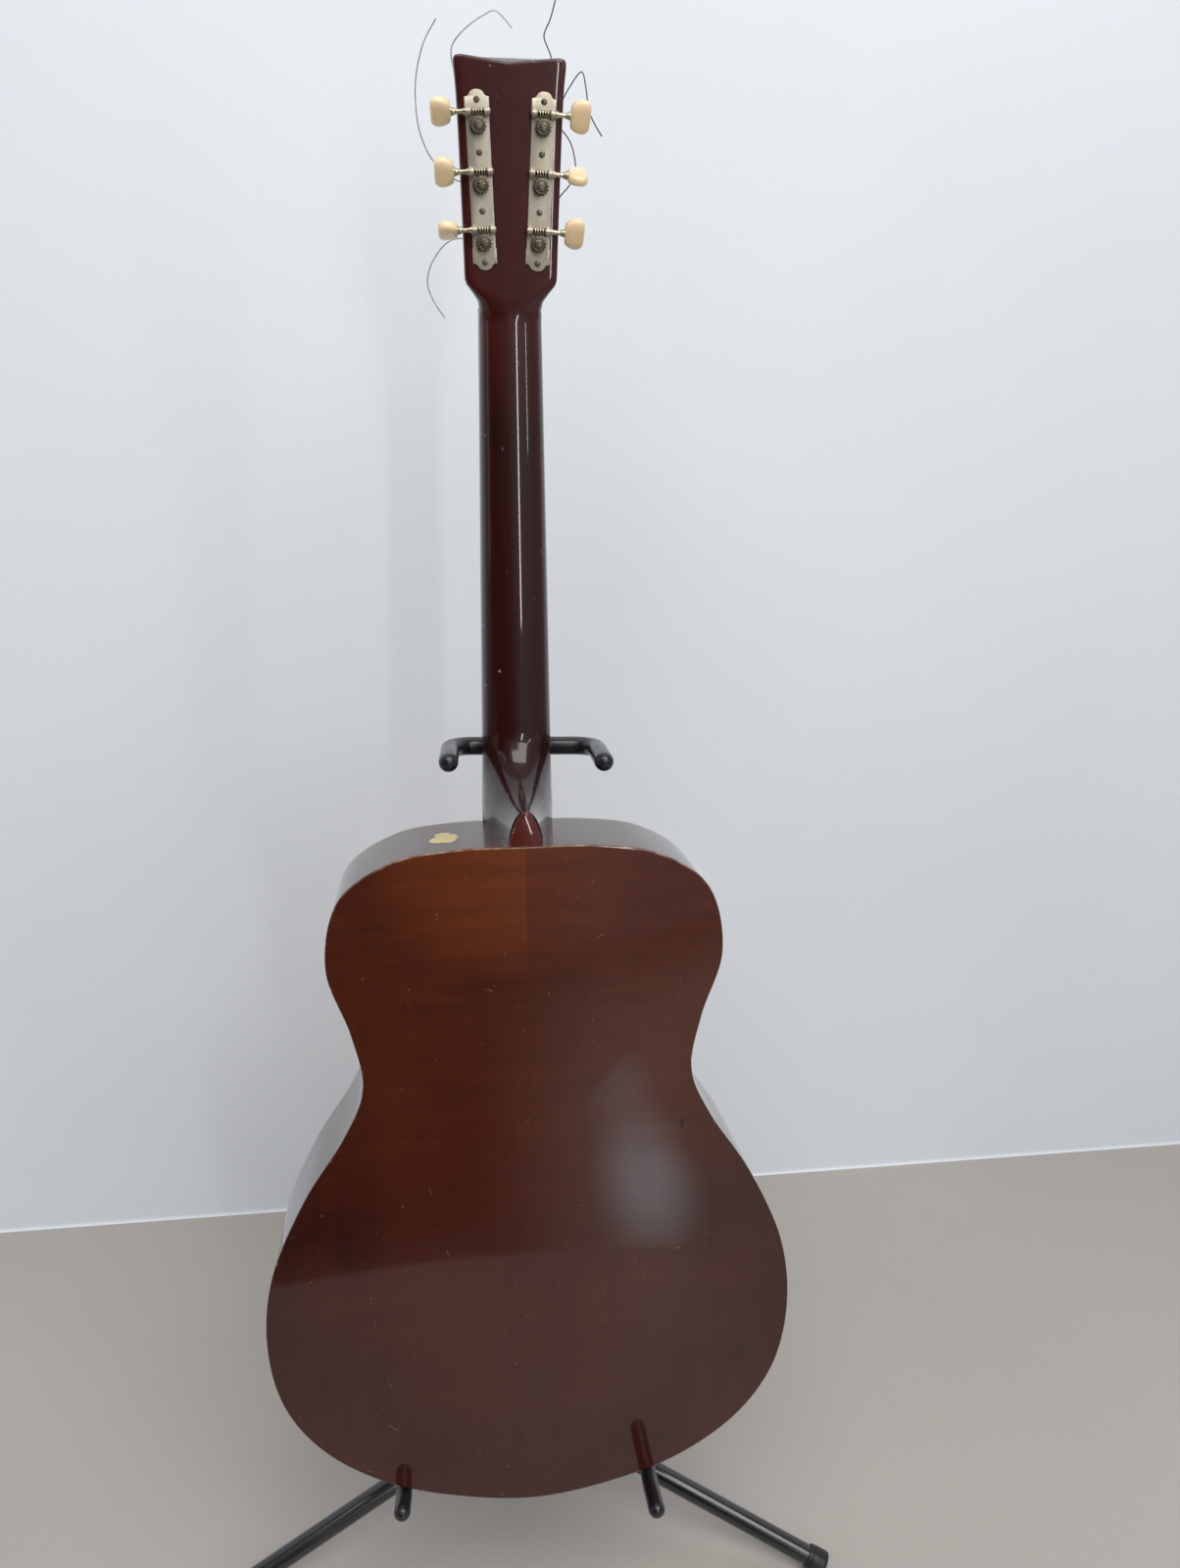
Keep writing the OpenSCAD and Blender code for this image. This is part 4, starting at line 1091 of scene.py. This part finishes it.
def dome(end, direction, radius, steps=7):
    """Points and radii that close a tube with a round tip."""
    angles = [math.radians(88 * j / steps) for j in range(1, steps + 1)]
    points = [tuple(Vector(end) + Vector(direction) * radius * math.sin(a)) for a in angles]
    return points, [radius * math.cos(a) for a in angles]


def body_sleeve(side, tip):
    """One arm's sleeve: straight along the arm, then tilted up to its round tip."""
    lean = math.radians(HOOK_ANGLE)
    forward = Vector((0, -math.cos(lean), math.sin(lean)))
    corner = Vector((side * ARM_X, HOOK_START, 0))
    path, radii = [], []
    for y, r in ((90.0, SLEEVE_RADIUS - 0.6), (89.6, SLEEVE_RADIUS - 0.2), (89.0, SLEEVE_RADIUS)):
        path.append((side * ARM_X, y, 0))
        radii.append(r)
    for y in (60.0, 30.0, 8.0):
        path.append((side * ARM_X, y, 0))
        radii.append(SLEEVE_RADIUS)
    for j in range(9):
        a = j / 8
        straight = corner + Vector((0, 5 * (1 - a), 0))
        tilted = corner + forward * 5 * a
        path.append(tuple(straight.lerp(tilted, a)))
        radii.append(SLEEVE_RADIUS)
    end = corner + forward * tip
    path.append(tuple(end))
    radii.append(SLEEVE_RADIUS)
    more, less = dome(end, forward, SLEEVE_RADIUS)
    return tube(path + more, radii + less, 40)


def build_yokes():
    arms = yoke_path(ARM_X, ARM_BAR_N, ARM_BEND, 1.0)
    piece("body_yoke_bar", tube(arms, ROD_RADIUS, 32), BODY_YOKE, TUBE_BLACK, "stand",
          ["body_yoke"])
    sleeves = merged(body_sleeve(-1, 18), body_sleeve(1, 34))
    piece("body_arm_sleeves", sleeves, BODY_YOKE, RUBBER, "stand", ["body_yoke_sleeves"])

    shapes = []
    for side in (-1, 1):
        path = [p for p in yoke_path(NECK_ARM_X, 0, NECK_BEND, -NECK_ARM_LENGTH) if p[0] * side > 0]
        path = path if side > 0 else path[::-1]
        path = [(side * 19.0, 0, 0), (side * 19.6, 0, 0), (side * 20.5, 0, 0)] + path
        radii = [NECK_SLEEVE_RADIUS - 0.8, NECK_SLEEVE_RADIUS - 0.2] + [NECK_SLEEVE_RADIUS] * (len(path) - 2)
        more, less = dome(path[-1], (0, -1, 0), NECK_SLEEVE_RADIUS)
        shapes.append(tube(path + more, radii + less, 40))
    piece("neck_arm_sleeves", merged(*shapes), NECK_YOKE, RUBBER, "neck_support",
          ["neck_yoke_sleeves"])


build_yokes()


def build_posts():
    top = (NECK_BAR_Z - HUB_Z) / math.cos(math.radians(POST_LEAN))
    weld = [(SUPPORT_RADIUS - 0.7, 90.0), (SUPPORT_RADIUS, 90.7), (SUPPORT_RADIUS, 300.0),
            (SUPPORT_RADIUS, top - 107), (SUPPORT_RADIUS - 0.4, top - 105.5), (7.3, top - 101.5),
            (7.0, top - 100), (7.0, top - 60), (7.0, top - 8), (6.6, top - 4.5), (5.9, top - 2.6),
            (5.4, top - 1.2)]
    bar = moved(tube([(-21, 0, 0), (-7, 0, 0), (7, 0, 0), (21, 0, 0)], ROD_RADIUS, 32),
                POST.inverted() @ NECK_YOKE)
    piece("neck_post", merged(lathe(weld, 56), bar), POST, TUBE_BLACK, "neck_support",
          ["neck_support"])
    low, high = -22.0, LOWER_POST_TOP
    profile = [(9.6, low), (10.5, low), (11.0, low + 0.5), (11.0, 60.0), (11.0, 140.0), (11.0, high - 0.5),
               (10.6, high), (9.7, high), (9.6, high - 0.6), (9.6, 100.0), (9.6, low)]
    rings = [[(r * c, r * s, z) for c, s in circle(56)] for r, z in profile]
    piece("outer_post", loft(rings, False, False), POST, TUBE_BLACK, "stand", ["lower_post"])


def leg_shape():
    """A tube crimped flat at its pivot end, with the pivot's eye."""
    rings = []
    rows = [(-7.3, 1.6, 1.7), (-6.6, 3.6, 2.1), (-5.0, 5.6, 2.2), (-2.5, 7.1, 2.2), (0, 7.5, 2.2),
            (12, 7.6, 2.2), (18, 7.8, 2.6), (26, 8.2, 4.6), (34, 8.1, 7.0)]
    rows += [(x, LEG_RADIUS, LEG_RADIUS) for x in (42, 70, 150, LEG_LENGTH - 0.5)]
    for x, high, wide in rows:
        blockiness = 2 + 4 * (1 - min(1, (wide - 2.2) / 5.8)) if x < 42 else 2
        ring = []
        for c, s in circle(48):
            reach = (abs(c) ** blockiness + abs(s) ** blockiness) ** (-1 / blockiness)
            ring.append((x, wide * c * reach, high * s * reach))
        rings.append(ring)
    return loft(rings)


def cap_shape(place):
    """A round end cap with a grip groove, flattened where it meets the floor."""
    end = LEG_LENGTH + 3
    start = end - 16
    rows = [(8.1, start), (9.0, start), (9.5, start + 0.5), (9.6, start + 2.2), (9.2, start + 2.6),
            (9.2, start + 3.2), (CAP_RADIUS, start + 3.8), (CAP_RADIUS, end - 2.4), (9.5, end - 1.2),
            (8.7, end - 0.4), (7.4, end)]
    points, faces = lathe(rows, 56, "X")
    inverse = place.inverted()
    flat = []
    for p in points:
        at = place @ Vector(p)
        at.z = max(at.z, 0.0)
        flat.append(tuple(inverse @ at))
    return flat, faces


def build_legs():
    for which in LEG_AZIMUTHS:
        here = leg_frame(which)
        body = f"leg_{which}"
        piece(f"{body}_tube", leg_shape(), here, TUBE_BLACK, body, [body], 40)
        piece(f"{body}_cap", cap_shape(here), here, HARD_BLACK, body, [f"foot_cap_{which}"])


def build_knob():
    """A five-lobed clamp knob on its threaded stem."""
    outline = []
    for i in range(120):
        a = 2 * math.pi * i / 120
        r = 13.3 + 2.9 * math.cos(5 * a)
        outline.append((r * math.cos(a), r * math.sin(a)))
    lobes = plate(outline, 25, 37, 2.2, 5)
    boss = lathe([(7.5, 22.5), (8.2, 23), (8.6, 25.5)], 40, "Y")
    stem = lathe(rounded(3.0, SUPPORT_RADIUS + 0.3, 27, 0.4), 28, "Y")
    badge = lathe([(8.0, 36.9), (7.6, 37.0), (7.0, 36.4), (0.5, 36.3)], 40, "Y")
    here = POST @ move(0, 0, LOWER_POST_TOP - 7)
    piece("knob", merged(lobes, boss, stem, badge), here, HARD_BLACK, "clamp_knob",
          ["clamp_knob"])


build_posts()
build_legs()
build_knob()
dress("leg_hub", HARD_BLACK, 1.0)
dress("clamp_collar", HARD_BLACK, 1.2)
dress("leg_pins", SCREW, 0.5)


# ------------------------------------------------------------------ stage and lights
def stage_material(name, colour, roughness, see_through=False):
    m = Nodes(name, Roughness=roughness)
    tone = m.ramp(m.noise(2.2, 4), (0.3, [c * 0.94 for c in colour]), (0.7, colour))
    m.colour(tone)
    if see_through:
        output = m.tree.nodes["Material Output"]
        behind = m.node("ShaderNodeNewGeometry").outputs["Backfacing"]
        blend = m.node("ShaderNodeMixShader", {0: behind})
        m.feed(blend.inputs[1], m.shader.outputs[0])
        m.feed(blend.inputs[2], m.node("ShaderNodeBsdfTransparent").outputs[0])
        m.feed(output.inputs[0], blend.outputs[0])
    return m.material


def build_stage():
    wall_y, cove, reach, high, slant = 0.345, 0.003, 4.0, 3.2, 0.055
    wall = [(wall_y - cove, 0.0)]
    wall += [(wall_y - cove + cove * math.sin(a), cove - cove * math.cos(a))
             for a in (math.radians(15 * j) for j in range(1, 7))]
    wall.append((wall_y, high))
    for name, part, material in (
        ("floor", [(-reach, 0.0), (reach, 0.0)], stage_material("pale_floor", (0.465, 0.435, 0.40), 0.5)),
        ("wall", wall, stage_material("pale_wall", (0.81, 0.865, 0.93), 0.6, True)),
    ):
        points = [(x, y + slant * x, z) for y, z in part for x in (-reach, reach)]
        faces = [(2 * i, 2 * i + 1, 2 * i + 3, 2 * i + 2) for i in range(len(part) - 1)]
        mesh = bpy.data.meshes.new(name)
        mesh.from_pydata(points, [], faces)
        mesh.shade_smooth()
        mesh.materials.append(material)
        made = bpy.data.objects.new(name, mesh)
        bpy.context.scene.collection.objects.link(made)


def area_light(name, at, look_at, width, height, watts, colour=(1, 1, 1)):
    data = bpy.data.lights.new(name, "AREA")
    data.shape = "RECTANGLE"
    data.size, data.size_y = width, height
    data.energy = watts
    data.color = colour
    made = bpy.data.objects.new(name, data)
    made.location = at
    made.rotation_euler = (Vector(look_at) - Vector(at)).to_track_quat("-Z", "Y").to_euler()
    bpy.context.scene.collection.objects.link(made)


def glossy_card(name, centre, across, up, radiance, cover, tint=(1, 1, 1)):
    """A soft-edged card that only reflections see: a lit patch, or a dark flag where radiance is 0."""
    m = Nodes(name)
    across, up = Vector(across), Vector(up)
    mesh = bpy.data.meshes.new(name)
    mesh.from_pydata([(-1, -1, 0), (1, -1, 0), (1, 1, 0), (-1, 1, 0)], [], [(0, 1, 2, 3)])
    made = bpy.data.objects.new(name, mesh)
    bpy.context.scene.collection.objects.link(made)
    normal = across.cross(up).normalized()
    made.matrix_world = Matrix((
        (across.x, up.x, normal.x, centre[0]), (across.y, up.y, normal.y, centre[1]),
        (across.z, up.z, normal.z, centre[2]), (0, 0, 0, 1),
    ))
    u, v, _ = m.axes()
    far = m.math("MAXIMUM", m.math("ABSOLUTE", u), m.math("ABSOLUTE", v))
    if radiance:
        far = m.math("SQRT", m.plus(m.times(u, u), m.times(v, v)))
    share = m.node("ShaderNodeMapRange", {
        "Value": far, "From Min": 1.0, "From Max": cover, "To Min": 0.0, "To Max": 1.0,
    }, interpolation_type="SMOOTHSTEP").outputs[0]
    glow = m.node("ShaderNodeEmission", {"Strength": radiance, "Color": (*tint, 1)})
    blend = m.node("ShaderNodeMixShader", {0: share})
    m.feed(blend.inputs[1], m.node("ShaderNodeBsdfTransparent").outputs[0])
    m.feed(blend.inputs[2], glow.outputs[0])
    m.feed(m.tree.nodes["Material Output"].inputs[0], blend.outputs[0])
    mesh.materials.append(m.material)
    made.visible_camera = False
    made.visible_diffuse = False
    made.visible_shadow = False
    made.visible_transmission = False


build_stage()
area_light("overhead", (0.3, -1.5, 2.7), (0.1, 0.1, 0.45), 2.6, 1.8, 60, (1.0, 0.97, 0.93))
area_light("strip_right", (1.85, -2.3, 1.75), (0, -0.05, 1.0), 0.05, 0.9, 3)
area_light("strip_near", (0.70, -2.9, 1.45), (0, -0.05, 1.0), 0.10, 1.3, 8)
area_light("side_left", (-2.0, -1.0, 1.5), (0, 0, 0.6), 1.0, 1.6, 4)
glossy_card("flag", (-0.43, -0.88, 0.9), (0.64, 0, 0), (0, 0, 1.2), 0.0, 0.64)
glossy_card("flag_left", (-0.95, -0.95, 1.2), (0, 0.75, 0), (0, 0, 0.8), 0.0, 0.6)
glossy_card("patch", (0.265, -0.87, 0.11), (0.11, 0, 0), (0, 0, 0.16), 2.2, 0.1, (0.78, 0.97, 1.05))
world = bpy.data.worlds.new("room")
world.use_nodes = True
world.node_tree.nodes["Background"].inputs["Color"].default_value = (0.88, 0.92, 1.0, 1)
world.node_tree.nodes["Background"].inputs["Strength"].default_value = 0.26
bpy.context.scene.world = world
bpy.context.scene.view_settings.view_transform = "Standard"
